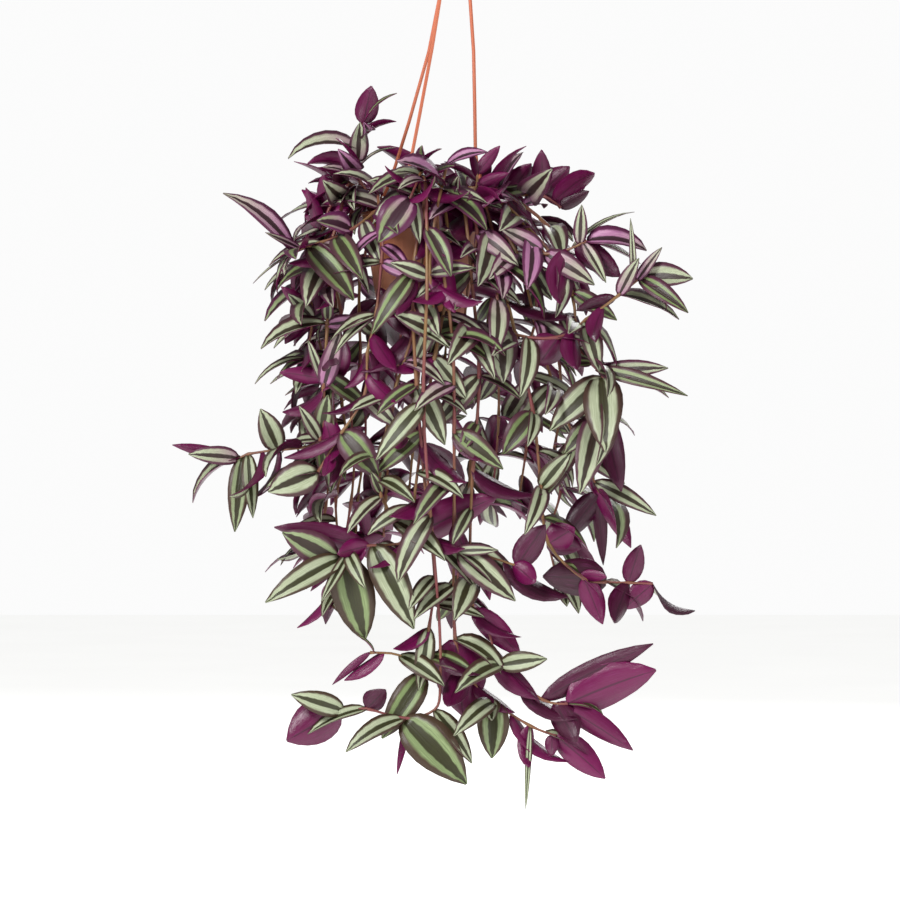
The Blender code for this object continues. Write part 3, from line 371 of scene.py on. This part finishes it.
        [(4, -8, 47.5, 2.7, "F", 40), (4, 3, 49, 2.8, "F", 40), (4, -3.3, 45.9, 2.0, "F", 50),
         (4, -1.3, 54.3, 1.8, "F", 30), (4, -6, 53, 1.8, "F", 30), (3, -8.4, 42, 2.0, "F", 30),
         (3, 0.6, 42.6, 1.9, "F", 40)]),
    "vine_green_group": (
        [(-1.8, -2.4, 35.2), (1, -7.8, 33), (2.4, -9.4, 36.5), (1.6, -10.8, 40.4),
         (1, -11.4, 46.2)],
        [(4, -4.9, 47.4, 3.0, "F", 40), (3, -3.4, 45, 3.2, "F", 40), (3, -0.9, 44.7, 1.6, "F", 30),
         (3, 5.4, 46.6, 2.6, "R", 60), (4, 4.2, 52.4, 2.6, "F", 40), (2, 6.8, 40.2, 2.4, "F", 50)]),
    "vine_right_side": (
        [(-0.9, -0.9, 35.2), (3.2, -4.2, 33.2), (6.6, -8.2, 38.6), (8.6, -9, 46), (10.6, -9.4, 53),
         (13.2, -9.4, 59.4), (15.6, -9.2, 64.6)],
        [(6, 11.6, 70, 3.0, "B", 30), (6, 16, 72.4, 1.6, "B", 30), (6, 18.8, 70.4, 2.4, "B", 30),
         (5, 18.2, 63.6, 2.6, "F", 40), (5, 9.4, 65.2, 2.4, "F", 30), (4, 6.2, 58.4, 2.6, "F", 40),
         (3, 14.2, 50.4, 2.4, "F", 40), (2, 10.4, 43.8, 2.4, "F", 40), (6, 21.6, 67, 2.2, "F", 50)]),
}


def at(point):
    """A route point in centimetres as a place in metres."""
    return Vector((point[0], point[1], -point[2])) * CM


def over_rim(route):
    """Lift a route over the pot's rim where it would pass through the wall."""
    inner, outer, clear_depth, slack = 6.1, 7.6, 33.2, 0.2
    centre = POT_AXIS_X / CM
    out = [route[0]]
    for here, there in zip(route, route[1:]):
        r_here = math.hypot(here[0] - centre, here[1])
        r_there = math.hypot(there[0] - centre, there[1])
        for radius in (inner, outer):
            if r_here < radius < r_there:
                t = (radius - r_here) / (r_there - r_here)
                x, y, depth = (a + (b - a) * t for a, b in zip(here, there))
                if depth > clear_depth - slack:
                    out.append((x, y, clear_depth))
        out.append(there)
    return out


def smooth_route(points):
    """The route with one Catmull-Rom point half way along each stretch."""
    near, far = 9 / 16, 1 / 16
    ends = [points[0]] + points + [points[-1]]
    out = [points[0]]
    for before, a, b, after in zip(ends, ends[1:], ends[2:], ends[3:]):
        out.append((a + b) * near - (before + after) * far)
        out.append(b)
    return out


# The filler vines' directions from the pot's axis, in degrees from +X, and the seed of what
# varies between them. Their radii, depths and lengths are in cm, and a pair is a range.
FILLER_ANGLES = [-8, 28, 41, 54, 67, 80, 93, 106, 119, 148, 160, 172, 184, 196]
SEED = 11
ROOT_RADII, ROOT_DEPTH = (4.2, 5.3), 35.2
CREST_RADIUS, CREST_DEPTH = 8.4, (30.4, 32.6)
HANGING_RADIUS, SHOULDER, SIDE_REACH = (9.5, 13), 0.92, 4
SHORT_HANG, LONG_HANG = (22, 40), (40, 52)
SHOULDER_DROP, FIRST_JOINT, JOINT_SPACING = 4, 8.5, (4.6, 5.6)
SWAY, DRIFT = 0.8, 0.04
LEAF_TURN, TURN_SPREAD = 1.1, (0.6, 1.2)
LEAF_LENGTH, END_LEAF_SCALE = (6, 9), 0.8
LEAF_DROP, CREST_LEAF_DROP = (0.2, 0.75), (-0.7, 0.1)
LEAF_SLENDERNESS, LEAF_BEND, LEAF_LEAN = (0.32, 0.42), (30, 75), 0.7


def filler_vines():
    """Plain hanging shoots that close the back and the sides, by a seeded rule."""
    rng = random.Random(SEED)
    centre = POT_AXIS_X / CM
    vines = {}
    for index, degrees in enumerate(FILLER_ANGLES):
        angle = math.radians(degrees)
        reach = rng.uniform(*HANGING_RADIUS) + (SIDE_REACH if math.cos(angle) > 0.4 else 0)
        length = rng.uniform(*(SHORT_HANG if index % 3 else LONG_HANG))
        rise = rng.uniform(*CREST_DEPTH)
        spots = [(ROOT_RADII[index % 2], ROOT_DEPTH), (CREST_RADIUS, rise),
                 (reach * SHOULDER, rise + SHOULDER_DROP)]
        depth = rise + FIRST_JOINT
        while depth < rise + length:
            spots.append((reach + rng.uniform(-SWAY, SWAY), depth))
            depth += rng.uniform(*JOINT_SPACING)
        headings = [angle + DRIFT * i for i in range(len(spots))]
        route = [(centre + r * math.cos(heading), r * math.sin(heading), depth)
                 for heading, (r, depth) in zip(headings, spots)]
        leaves = []
        for i in range(1, len(route)):
            last = i == len(route) - 1
            for k in range(3 if last else 1 + i % 2):
                side = LEAF_TURN if (i + k) % 2 else -LEAF_TURN
                turn = angle + side * rng.uniform(*TURN_SPREAD)
                size = rng.uniform(*LEAF_LENGTH) * (END_LEAF_SCALE if last else 1)
                drop = rng.uniform(*(LEAF_DROP if i > 1 else CREST_LEAF_DROP))
                away = size * math.sqrt(1 - drop * drop)
                x, y, depth = route[i]
                tip = (x + away * math.cos(turn), y + away * math.sin(turn), depth + size * drop)
                up = (math.cos(turn) * LEAF_LEAN, math.sin(turn) * LEAF_LEAN, 1)
                width = size * rng.uniform(*LEAF_SLENDERNESS)
                leaves.append((i, tip, width, up, rng.uniform(*LEAF_BEND)))
        vines[f"vine_back_{index + 1:02d}"] = (route, leaves)
    return vines


def featured_vines():
    """The vines of the table, with each leaf's tip and facing spelled out."""
    vines = {}
    for name, (route, leaves) in VINES.items():
        full = [(point, (x, route[point][1] + TIP_FORWARD[side], depth), width, FACING[side], bend)
                for point, x, depth, width, side, bend in leaves]
        vines[name] = (route, full)
    return vines


# A vine that meets another one is tried again with everything past its root moved, in mm.
STEM_SHIFTS = [(0, 0, 0), (0, -5, 0), (0, 5, 0), (-5, 0, 0), (5, 0, 0), (0, 0, 5), (0, -5, 5),
               (0, 5, 5), (-5, 0, 5), (5, 0, 5), (0, -10, 0), (0, 10, 0), (0, 0, 10), (-10, 0, 0),
               (10, 0, 0), (0, -10, 5), (5, -5, 10), (-5, -5, 10), (10, -10, 10), (-10, -10, 10),
               (0, 10, 10), (0, -15, 0), (0, 15, 0), (15, 0, 5), (-15, 0, 5), (0, -15, 15),
               (0, 0, 15), (10, 0, 15), (-10, 0, 15), (0, 10, 20), (15, 10, 20), (-15, 10, 20)]
# A leaf that meets something swings its tip to and fro by these steps, in mm.
TIP_SHIFTS = [0, -8, 8, -16, 16, -24, 24, -32, 32]
# Leaves of one joint start this far apart along the stem.
LEAF_STEP = 4.5 * MM
# A CAD leaf's tip is found within this distance of where it is looked for.
TIP_TOLERANCE = 0.6 * MM


def leaf_frame(base, tip, up):
    """Length and axes of a leaf: along it, out of its upper side, and across it."""
    along = tip - base
    length = along.length
    along = along / length
    normal = (up - along * up.dot(along)).normalized()
    return length, along, normal, along.cross(normal)


def walk_back(points, start, distance):
    """The place on a route this far before the point nearest to start."""
    index = min(range(len(points)), key=lambda i: (points[i] - start).length)
    here = points[index]
    while index > 0 and (points[index - 1] - here).length < distance:
        distance -= (points[index - 1] - here).length
        index -= 1
        here = points[index]
    if index == 0:
        return here
    return here + (points[index - 1] - here).normalized() * distance


def shifted_route(route, shift):
    """The vine's route in metres, its root on the soil and the rest moved by the shift."""
    move = Vector(shift) * MM
    root, *rest = [at(point) for point in over_rim(route)]
    root.z = RIM_Z - SOIL_DEPTH + GAP
    collar = root + Vector((0, 0, COLLAR))
    return [root] + smooth_route([collar] + [point + move for point in rest])


def node_points(name):
    """The corners of a CAD node."""
    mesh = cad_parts[name].data
    points = np.empty(len(mesh.vertices) * 3)
    mesh.vertices.foreach_get("co", points)
    return points.reshape(-1, 3)


def nearest(points, place):
    """How far a place is from the nearest of these points."""
    return float(np.sqrt(((points - np.array(place)) ** 2).sum(axis=1).min()))


def stem_shift(route, points):
    """Which of the moves the CAD stem took, read from how close its skin lies to the route."""
    def misfit(shift):
        past_collar = 3
        spots = shifted_route(route, shift)[past_collar:]
        return sum(abs(nearest(points, spot) - STEM_RADIUS) for spot in spots)
    return min(STEM_SHIFTS, key=misfit)


def find_tip(tip, points):
    """Where the CAD leaf's tip ended up, or None if the vine has no such leaf."""
    for step in TIP_SHIFTS:
        end = tip + Vector((0, step * MM, 0))
        if nearest(points, end) < TIP_TOLERANCE:
            return end
    return None


# -- One blade, modelled once: a flat grid given thickness, which blade_points shapes. X runs
# across it from -1 to 1, Y along it from 0 to 1, and Z is the height in half thicknesses. The
# rest are a blade's proportions: a pair is the range between leaves.
ACROSS, ALONG = 4, 8
bpy.ops.mesh.primitive_grid_add(x_subdivisions=ACROSS, y_subdivisions=ALONG, size=2)
blade = bpy.context.object
blade.name = "blade_template"
for vert in blade.data.vertices:
    vert.co.y = (vert.co.y + 1) / 2
bpy.ops.object.mode_set(mode="EDIT")
bpy.ops.mesh.select_all(action="SELECT")
bpy.ops.transform.translate(value=(0, 0, 1))
bpy.ops.object.mode_set(mode="OBJECT")
shell = blade.modifiers.new("thickness", "SOLIDIFY")
shell.thickness = 2
shell.offset = -1
shell.material_offset = 1
shell.material_offset_rim = 1
blade.data.materials.append(None)
blade.data.materials.append(None)
bpy.ops.object.modifier_apply(modifier="thickness")
TEMPLATE = np.array([v.co[:] for v in blade.data.vertices])
TEMPLATE_FACES = [list(p.vertices) for p in blade.data.polygons]
TEMPLATE_SIDES = [p.material_index for p in blade.data.polygons]
bpy.data.objects.remove(blade)
BLADE_THICKNESS = 0.55 * MM
BASE_POWER, TIP_POWER, OUTLINE_PEAK = 0.55, 0.85, 0.391
BASE_STUB, TIP_STUB = 0.012, 0.01
LEAST_BEND = 6
ROW_POWER = 1.15
FOLD, FOLD_POWER, FOLD_NARROWING = (0.12, 0.42), 1.4, 0.12
WAVE, WAVE_TURN, WAVE_SKEW, ANY_PHASE = (0.02, 0.09), 9, 1.5, (0, 6.28)
TWIST = 0.35
GROOVE_DEPTH, GROOVE_SHARPNESS = 0.12, 5


def outline(y):
    """Half width of the leaf along its length, 1 at its widest."""
    base = np.maximum(y, BASE_STUB) ** BASE_POWER
    return base * np.maximum(1 - y, TIP_STUB) ** TIP_POWER / OUTLINE_PEAK


def blade_points(base, tip, width, up, bend, rng):
    """The template bent along its arc, folded along the midrib and waved at its margins."""
    length, along, normal, across = leaf_frame(base, tip, up)
    theta = math.radians(max(bend, LEAST_BEND))
    half_sine = 2 * math.sin(theta / 2)
    x, y, z = TEMPLATE.T
    y = y ** ROW_POWER
    half = width / 2 * outline(y)
    fold = rng.uniform(*FOLD)
    wave = rng.uniform(*WAVE)
    phase = rng.uniform(*ANY_PHASE)
    twist = rng.uniform(-TWIST, TWIST) * y
    ripple = wave * np.sin(WAVE_TURN * y + phase + WAVE_SKEW * x) * np.abs(x)
    rise = half * (fold * np.abs(x) ** FOLD_POWER + ripple)
    rise = rise - GROOVE_DEPTH * half * np.exp(-(x * GROOVE_SHARPNESS) ** 2)
    reach = half * x * (1 - FOLD_NARROWING * fold)
    side = reach * np.cos(twist) - rise * np.sin(twist)
    lift = reach * np.sin(twist) + rise * np.cos(twist) + z * BLADE_THICKNESS / 2
    droop = theta * (y - 0.5)
    arc_along = length * (0.5 + np.sin(droop) / half_sine)
    arc_lift = length * (np.cos(droop) - math.cos(theta / 2)) / half_sine
    arc_along = arc_along + lift * np.sin(droop)
    arc_lift = arc_lift + lift * np.cos(droop)
    axes = [np.array(axis) for axis in (along, normal, across)]
    return (np.array(base) + arc_along[:, None] * axes[0] + arc_lift[:, None] * axes[1]
            + side[:, None] * axes[2])


def leaves_piece(name, leaves, rng):
    """All the leaves of one vine as one mesh, with a tone for each leaf."""
    points, faces, sides, tones, ages, uvs = [], [], [], [], [], []
    for base, tip, width, up, bend, age in leaves:
        first = len(points) * len(TEMPLATE)
        points.append(blade_points(base, tip, width, up, bend, rng))
        faces += [[first + i for i in face] for face in TEMPLATE_FACES]
        sides += TEMPLATE_SIDES
        tone = rng.random()
        tones += [tone] * len(TEMPLATE)
        ages += [age] * len(TEMPLATE)
        uvs += [(0.5 + x / 2, y) for x, y, z in TEMPLATE]
    mesh = bpy.data.meshes.new(name)
    mesh.from_pydata(np.concatenate(points).tolist(), [], faces)
    mesh.polygons.foreach_set("material_index", sides)
    layer = mesh.uv_layers.new(name="blade")
    for loop in mesh.loops:
        layer.data[loop.index].uv = uvs[loop.vertex_index]
    for label, values in (("tone", tones), ("age", ages)):
        mesh.attributes.new(label, "FLOAT", "POINT").data.foreach_set("value", values)
    mesh.materials.append(upper_paint.material)
    mesh.materials.append(under_paint.material)
    mesh.update()
    piece = bpy.data.objects.new(name, mesh)
    bpy.context.scene.collection.objects.link(piece)
    recalculated(piece)
    return piece


def recalculated(piece):
    """Turn the faces of a closed piece outwards and shade it smooth."""
    bm = bmesh.new()
    bm.from_mesh(piece.data)
    bmesh.ops.recalc_face_normals(bm, faces=bm.faces)
    bm.to_mesh(piece.data)
    bm.free()
    piece.data.polygons.foreach_set("use_smooth", [True] * len(piece.data.polygons))


# A stem swells by this share at a joint, within about this distance, and thins by this share.
SWELLING, SWELLING_REACH = 0.35, 3 * MM
STEM_TAPER = 0.45


def stem_piece(name, points, joints):
    """A round stem along the route, thicker at its joints and thinner towards its tip."""
    curve = bpy.data.curves.new(name, "CURVE")
    curve.dimensions = "3D"
    curve.bevel_depth = STEM_RADIUS
    curve.bevel_resolution = 2
    curve.use_fill_caps = True
    fine = smooth_route(points)
    spline = curve.splines.new("POLY")
    spline.points.add(len(fine) - 1)
    for i, (knot, point) in enumerate(zip(spline.points, fine)):
        knot.co = (*point, 1)
        close = min((point - joint).length for joint in joints)
        swelling = SWELLING * math.exp(-(close / SWELLING_REACH) ** 2)
        knot.radius = (1.0 - STEM_TAPER * i / len(fine)) + swelling
    piece = bpy.data.objects.new(name, curve)
    bpy.context.scene.collection.objects.link(piece)
    bpy.ops.object.select_all(action="DESELECT")
    piece.select_set(True)
    bpy.context.view_layer.objects.active = piece
    bpy.ops.object.convert(target="MESH")
    piece = bpy.context.object
    bpy.ops.object.mode_set(mode="EDIT")
    bpy.ops.mesh.select_all(action="SELECT")
    bpy.ops.mesh.remove_doubles(threshold=0.00001)
    bpy.ops.object.mode_set(mode="OBJECT")
    recalculated(piece)
    piece.data.materials.clear()
    piece.data.materials.append(stem_paint.material)
    return piece


# -- Upper side: two silver-green bands either side of a dark midrib stripe, in a purple margin,
# with fine streaks along the veins. Young leaves are pinker and old ones greener.
upper_paint = Finish("leaf_upper", Roughness=0.42, IOR=1.45)
across_uv = upper_paint.node("ShaderNodeSeparateXYZ", {}, upper_paint.place(source="UV"), out=0)
along_uv = upper_paint.node("ShaderNodeSeparateXYZ", {}, upper_paint.place(source="UV"), out=1)
tone = upper_paint.tag("tone")
age = upper_paint.tag("age")
streak = upper_paint.noise(9.0, (6, 0.5, 1), 4.0, "UV")
wander = (upper_paint.noise(3.0, (1, 1.6, 1), 2.0, "UV") - 0.5) * 0.12
offset = ((across_uv - 0.5) * 2 + wander).absolute()
inner = 0.16 + tone * 0.12
band = (offset - inner).above(0.0, 0.1) * (1 - (offset + tone * 0.1).above(0.62, 0.8))
band = band * along_uv.above(0.0, 0.15) * (0.62 + streak * 0.55)
stripe = upper_paint.mix(age, (0.055, 0.008, 0.03, 1), (0.05, 0.06, 0.012, 1))
stripe = upper_paint.mix(streak, stripe, (0.022, 0.012, 0.012, 1))
margin = upper_paint.mix(age, (0.10, 0.012, 0.06, 1), (0.06, 0.035, 0.02, 1))
silver = upper_paint.mix(streak, (0.22, 0.28, 0.14, 1), (0.62, 0.66, 0.48, 1))
green = upper_paint.mix(streak, (0.08, 0.14, 0.03, 1), (0.32, 0.42, 0.18, 1))
silver = upper_paint.mix(tone.above(0.55, 0.9), silver, green)
pink = upper_paint.mix(streak, (0.30, 0.03, 0.24, 1), (0.58, 0.34, 0.44, 1))
band_colour = upper_paint.mix((age + tone * 0.4 + along_uv * 0.35).above(0.35, 0.75), pink, silver)
ground = upper_paint.mix(offset.above(0.25, 0.65), stripe, margin)
upper_paint.set("Base Color", upper_paint.mix(band, ground, band_colour))
upper_paint.set("Roughness", streak * 0.2 + 0.3)
upper_paint.bump(streak + (1 - offset.above(0.0, 0.08)) * 0.6, 0.35, 0.0006)

# -- Underside: glossy deep purple, with paler lengthwise veins partly as painted sheen, and a dark midrib line.
under_paint = Finish("leaf_under", Roughness=0.34, IOR=1.47)
across_uv = under_paint.node("ShaderNodeSeparateXYZ", {}, under_paint.place(source="UV"), out=0)
veins = under_paint.noise(10.0, (7, 0.4, 1), 4.0, "UV")
rib = 1 - ((across_uv - 0.5) * 2).absolute().above(0.0, 0.09)
tone = under_paint.tag("tone")
deep = under_paint.mix(tone, (0.035, 0.001, 0.012, 1), (0.15, 0.002, 0.065, 1))
# Paler purple along the veins: partly the veins' own colour, partly a painted sheen.
vein_tint_and_painted_sheen = under_paint.mix(veins.above(0.45, 0.85) * 0.55, deep, (0.2, 0.025, 0.13, 1))
under_paint.set("Base Color", under_paint.mix(rib * 0.7, vein_tint_and_painted_sheen, (0.02, 0.002, 0.01, 1)))
under_paint.set("Roughness", veins * 0.2 + 0.22)
under_paint.bump(veins - rib * 0.5, 0.4, 0.0006)

# -- Stem: fleshy, pink-brown to yellowish, streaked with darker fine fibres.
stem_paint = Finish("stem_flesh", Roughness=0.42, IOR=1.45)
blush = stem_paint.noise(22.0, (1, 1, 0.6))
fibres = stem_paint.noise(300.0, (1, 1, 0.08))
stem_colour = stem_paint.mix(blush.above(0.35, 0.65), (0.24, 0.065, 0.065, 1), (0.26, 0.15, 0.05, 1))
stem_paint.set("Base Color", stem_paint.mix(fibres * 0.5, stem_colour, (0.09, 0.02, 0.03, 1)))
stem_paint.bump(fibres, 0.3, 0.0004)


# A leaf's age rises with its depth below the hook, in cm, and varies by the range.
YOUNG_DEPTH, AGEING_DEPTH, YOUNG_AGE, AGE_SPREAD = 35, 60, 0.25, (-0.3, 0.35)


def leaf_age(depth, rng):
    """0 for a young pink leaf, 1 for an old silver-green one: older ones hang lower."""
    age = YOUNG_AGE + (depth - YOUNG_DEPTH) / AGEING_DEPTH + rng.uniform(*AGE_SPREAD)
    return min(1, max(0, age))


# The smaller leaves: how far apart they grow, closer together near the rim and above it, and
# how long, wide and bent they are. A share of them shows its underside.
CROWN_DEPTH, CROWN_SPACING, TRAIL_SPACING = 90 * MM, 13 * MM, 17 * MM
SMALL_LENGTH, SMALL_SLENDERNESS, SMALL_BEND = (44, 80), (0.3, 0.46), (25, 80)
RISING_DROP, TRAILING_DROP = (-0.45, 0.6), (0.2, 0.92)
OUTWARD_SHARE, SIDEWAYS_SHARE = (0.1, 0.8), (0.3, 1)
OUTWARD_LEAN, UPWARD_LEAN, TURNED_SHARE = 0.8, 0.9, 0.4


def extra_leaves(points, rng):
    """Smaller leaves on the bare stretches, alternating sides and hanging outwards."""
    out = []
    travelled, turn = 0, 1
    for before, here in zip(points[2:], points[3:]):
        travelled += (here - before).length
        crown = here.z > RIM_Z - CROWN_DEPTH
        if travelled < (CROWN_SPACING if crown else TRAIL_SPACING):
            continue
        travelled = 0
        turn = -turn
        outward = Vector((here.x - POT_AXIS_X, here.y, 0)).normalized()
        sideways = outward.cross(Vector((0, 0, 1))) * turn
        length = rng.uniform(*SMALL_LENGTH) * MM
        drop = rng.uniform(*(RISING_DROP if here.z > RIM_Z else TRAILING_DROP))
        reach = outward * rng.uniform(*OUTWARD_SHARE) + sideways * rng.uniform(*SIDEWAYS_SHARE)
        away = reach.normalized() * math.sqrt(1 - drop * drop)
        tip = here + (away - Vector((0, 0, drop))) * length
        up = (outward * OUTWARD_LEAN + Vector((0, 0, UPWARD_LEAN))).normalized()
        if rng.random() < TURNED_SHARE:
            up = -up
        width = length * rng.uniform(*SMALL_SLENDERNESS)
        bend = rng.uniform(*SMALL_BEND)
        out.append((here, tip, width, up, bend, leaf_age(-here.z / CM, rng)))
    return out


# Small leaves whose tips would reach further than this past the CAD solids are left off.
LOW_REACH = Vector((6 * MM, 6 * MM, 4 * MM))
HIGH_REACH = Vector((6 * MM, 6 * MM, 6 * MM))
LEAF_SEED = 5

rng = random.Random(LEAF_SEED)
low_limit = Vector(cad_box[0]) - LOW_REACH
high_limit = Vector(cad_box[1]) + HIGH_REACH
for name, (route, table) in {**featured_vines(), **filler_vines()}.items():
    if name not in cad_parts:
        continue
    skin = node_points(name)
    shift = stem_shift(route, skin)
    points = shifted_route(route, shift)
    move = Vector(shift) * MM
    used, leaves, joints = {}, [], []
    for point, tip, width, up, bend in table:
        used[point] = used.get(point, -1) + 1
        joint = at(route[point]) + move
        joints.append(joint)
        end = find_tip(at(tip) + move, skin)
        if end is not None:
            root = walk_back(points, joint, LEAF_STEP * used[point])
            leaves.append((root, end, width * CM, Vector(up), bend, leaf_age(tip[2], rng)))
    for leaf in extra_leaves(points, rng):
        tip = leaf[1]
        if all(low < place < high for low, place, high in zip(low_limit, tip, high_limit)):
            leaves.append(leaf)
    blades = leaves_piece(name + "_leaves", leaves, rng)
    stem = stem_piece(name + "_stem", points, joints)
    for piece in (blades, stem):
        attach(piece, "root")
        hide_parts(name)

# == Floor, light and camera ===============================================================
# A pale floor well below the plant, one large soft key from the upper left, a weaker fill
# from the right and a rim light behind, in front of a white studio.
FLOOR_DROP, FLOOR_SIZE, FLOOR_GLOW = 0.12, 16, 0.72
WHITE = (1, 1, 1, 1)
ROOM_LIGHT, BACKDROP_LIGHT = 0.3, 0.97
CAMERA_DISTANCE, FRAME_HEIGHT, SENSOR = 4.5, 0.99, 36
VIEW_CENTRE_X, VIEW_CENTRE_Z = -0.0055, -0.5995
LIT_PLACE = Vector((0, 0, -0.55))
# Each lamp's place and side in metres, and its power in watts.
LAMPS = [((-1.5, -2.3, 1.1), 0.9, 84), ((2.2, -2.2, 0.0), 1.4, 20), ((0.8, 2.6, 0.9), 1.4, 40)]

bpy.ops.mesh.primitive_plane_add(size=FLOOR_SIZE, location=(0, 0, cad_box[0][2] - FLOOR_DROP))
floor = bpy.context.object
floor.name = "floor"
floor_paint = Finish("floor_pale", Roughness=0.9, Emission_Strength=FLOOR_GLOW)
pale = floor_paint.mix(floor_paint.noise(3.0), (0.88, 0.88, 0.87, 1), (0.92, 0.92, 0.91, 1))
floor_paint.set("Base Color", pale)
floor_paint.set("Emission Color", pale)
floor.data.materials.append(floor_paint.material)

# -- The white studio: the camera sees a brighter backdrop than the one that lights the plant.
world = bpy.data.worlds.new("studio")
world.use_nodes = True
studio = Network(world.node_tree)
room = studio.node("ShaderNodeBackground", {}, WHITE, ROOM_LIGHT)
backdrop = studio.node("ShaderNodeBackground", {}, WHITE, BACKDROP_LIGHT)
seen_by_camera = studio.node("ShaderNodeLightPath", {})
either = studio.node("ShaderNodeMixShader", {}, seen_by_camera, room, backdrop)
studio.tree.links.new(either.socket, studio.tree.nodes["World Output"].inputs["Surface"])
bpy.context.scene.world = world
for place, side, power in LAMPS:
    bpy.ops.object.light_add(type="AREA", location=place)
    lamp = bpy.context.object
    lamp.data.size = side
    lamp.data.energy = power
    lamp.rotation_euler = (LIT_PLACE - Vector(place)).to_track_quat("-Z", "Y").to_euler()

bpy.ops.object.camera_add(location=(VIEW_CENTRE_X, -CAMERA_DISTANCE, VIEW_CENTRE_Z),
                          rotation=(math.pi / 2, 0, 0))
camera = bpy.context.object
camera.data.sensor_width = SENSOR
camera.data.lens = SENSOR * CAMERA_DISTANCE / FRAME_HEIGHT
bpy.context.scene.camera = camera
bpy.context.scene.view_settings.view_transform = "Standard"
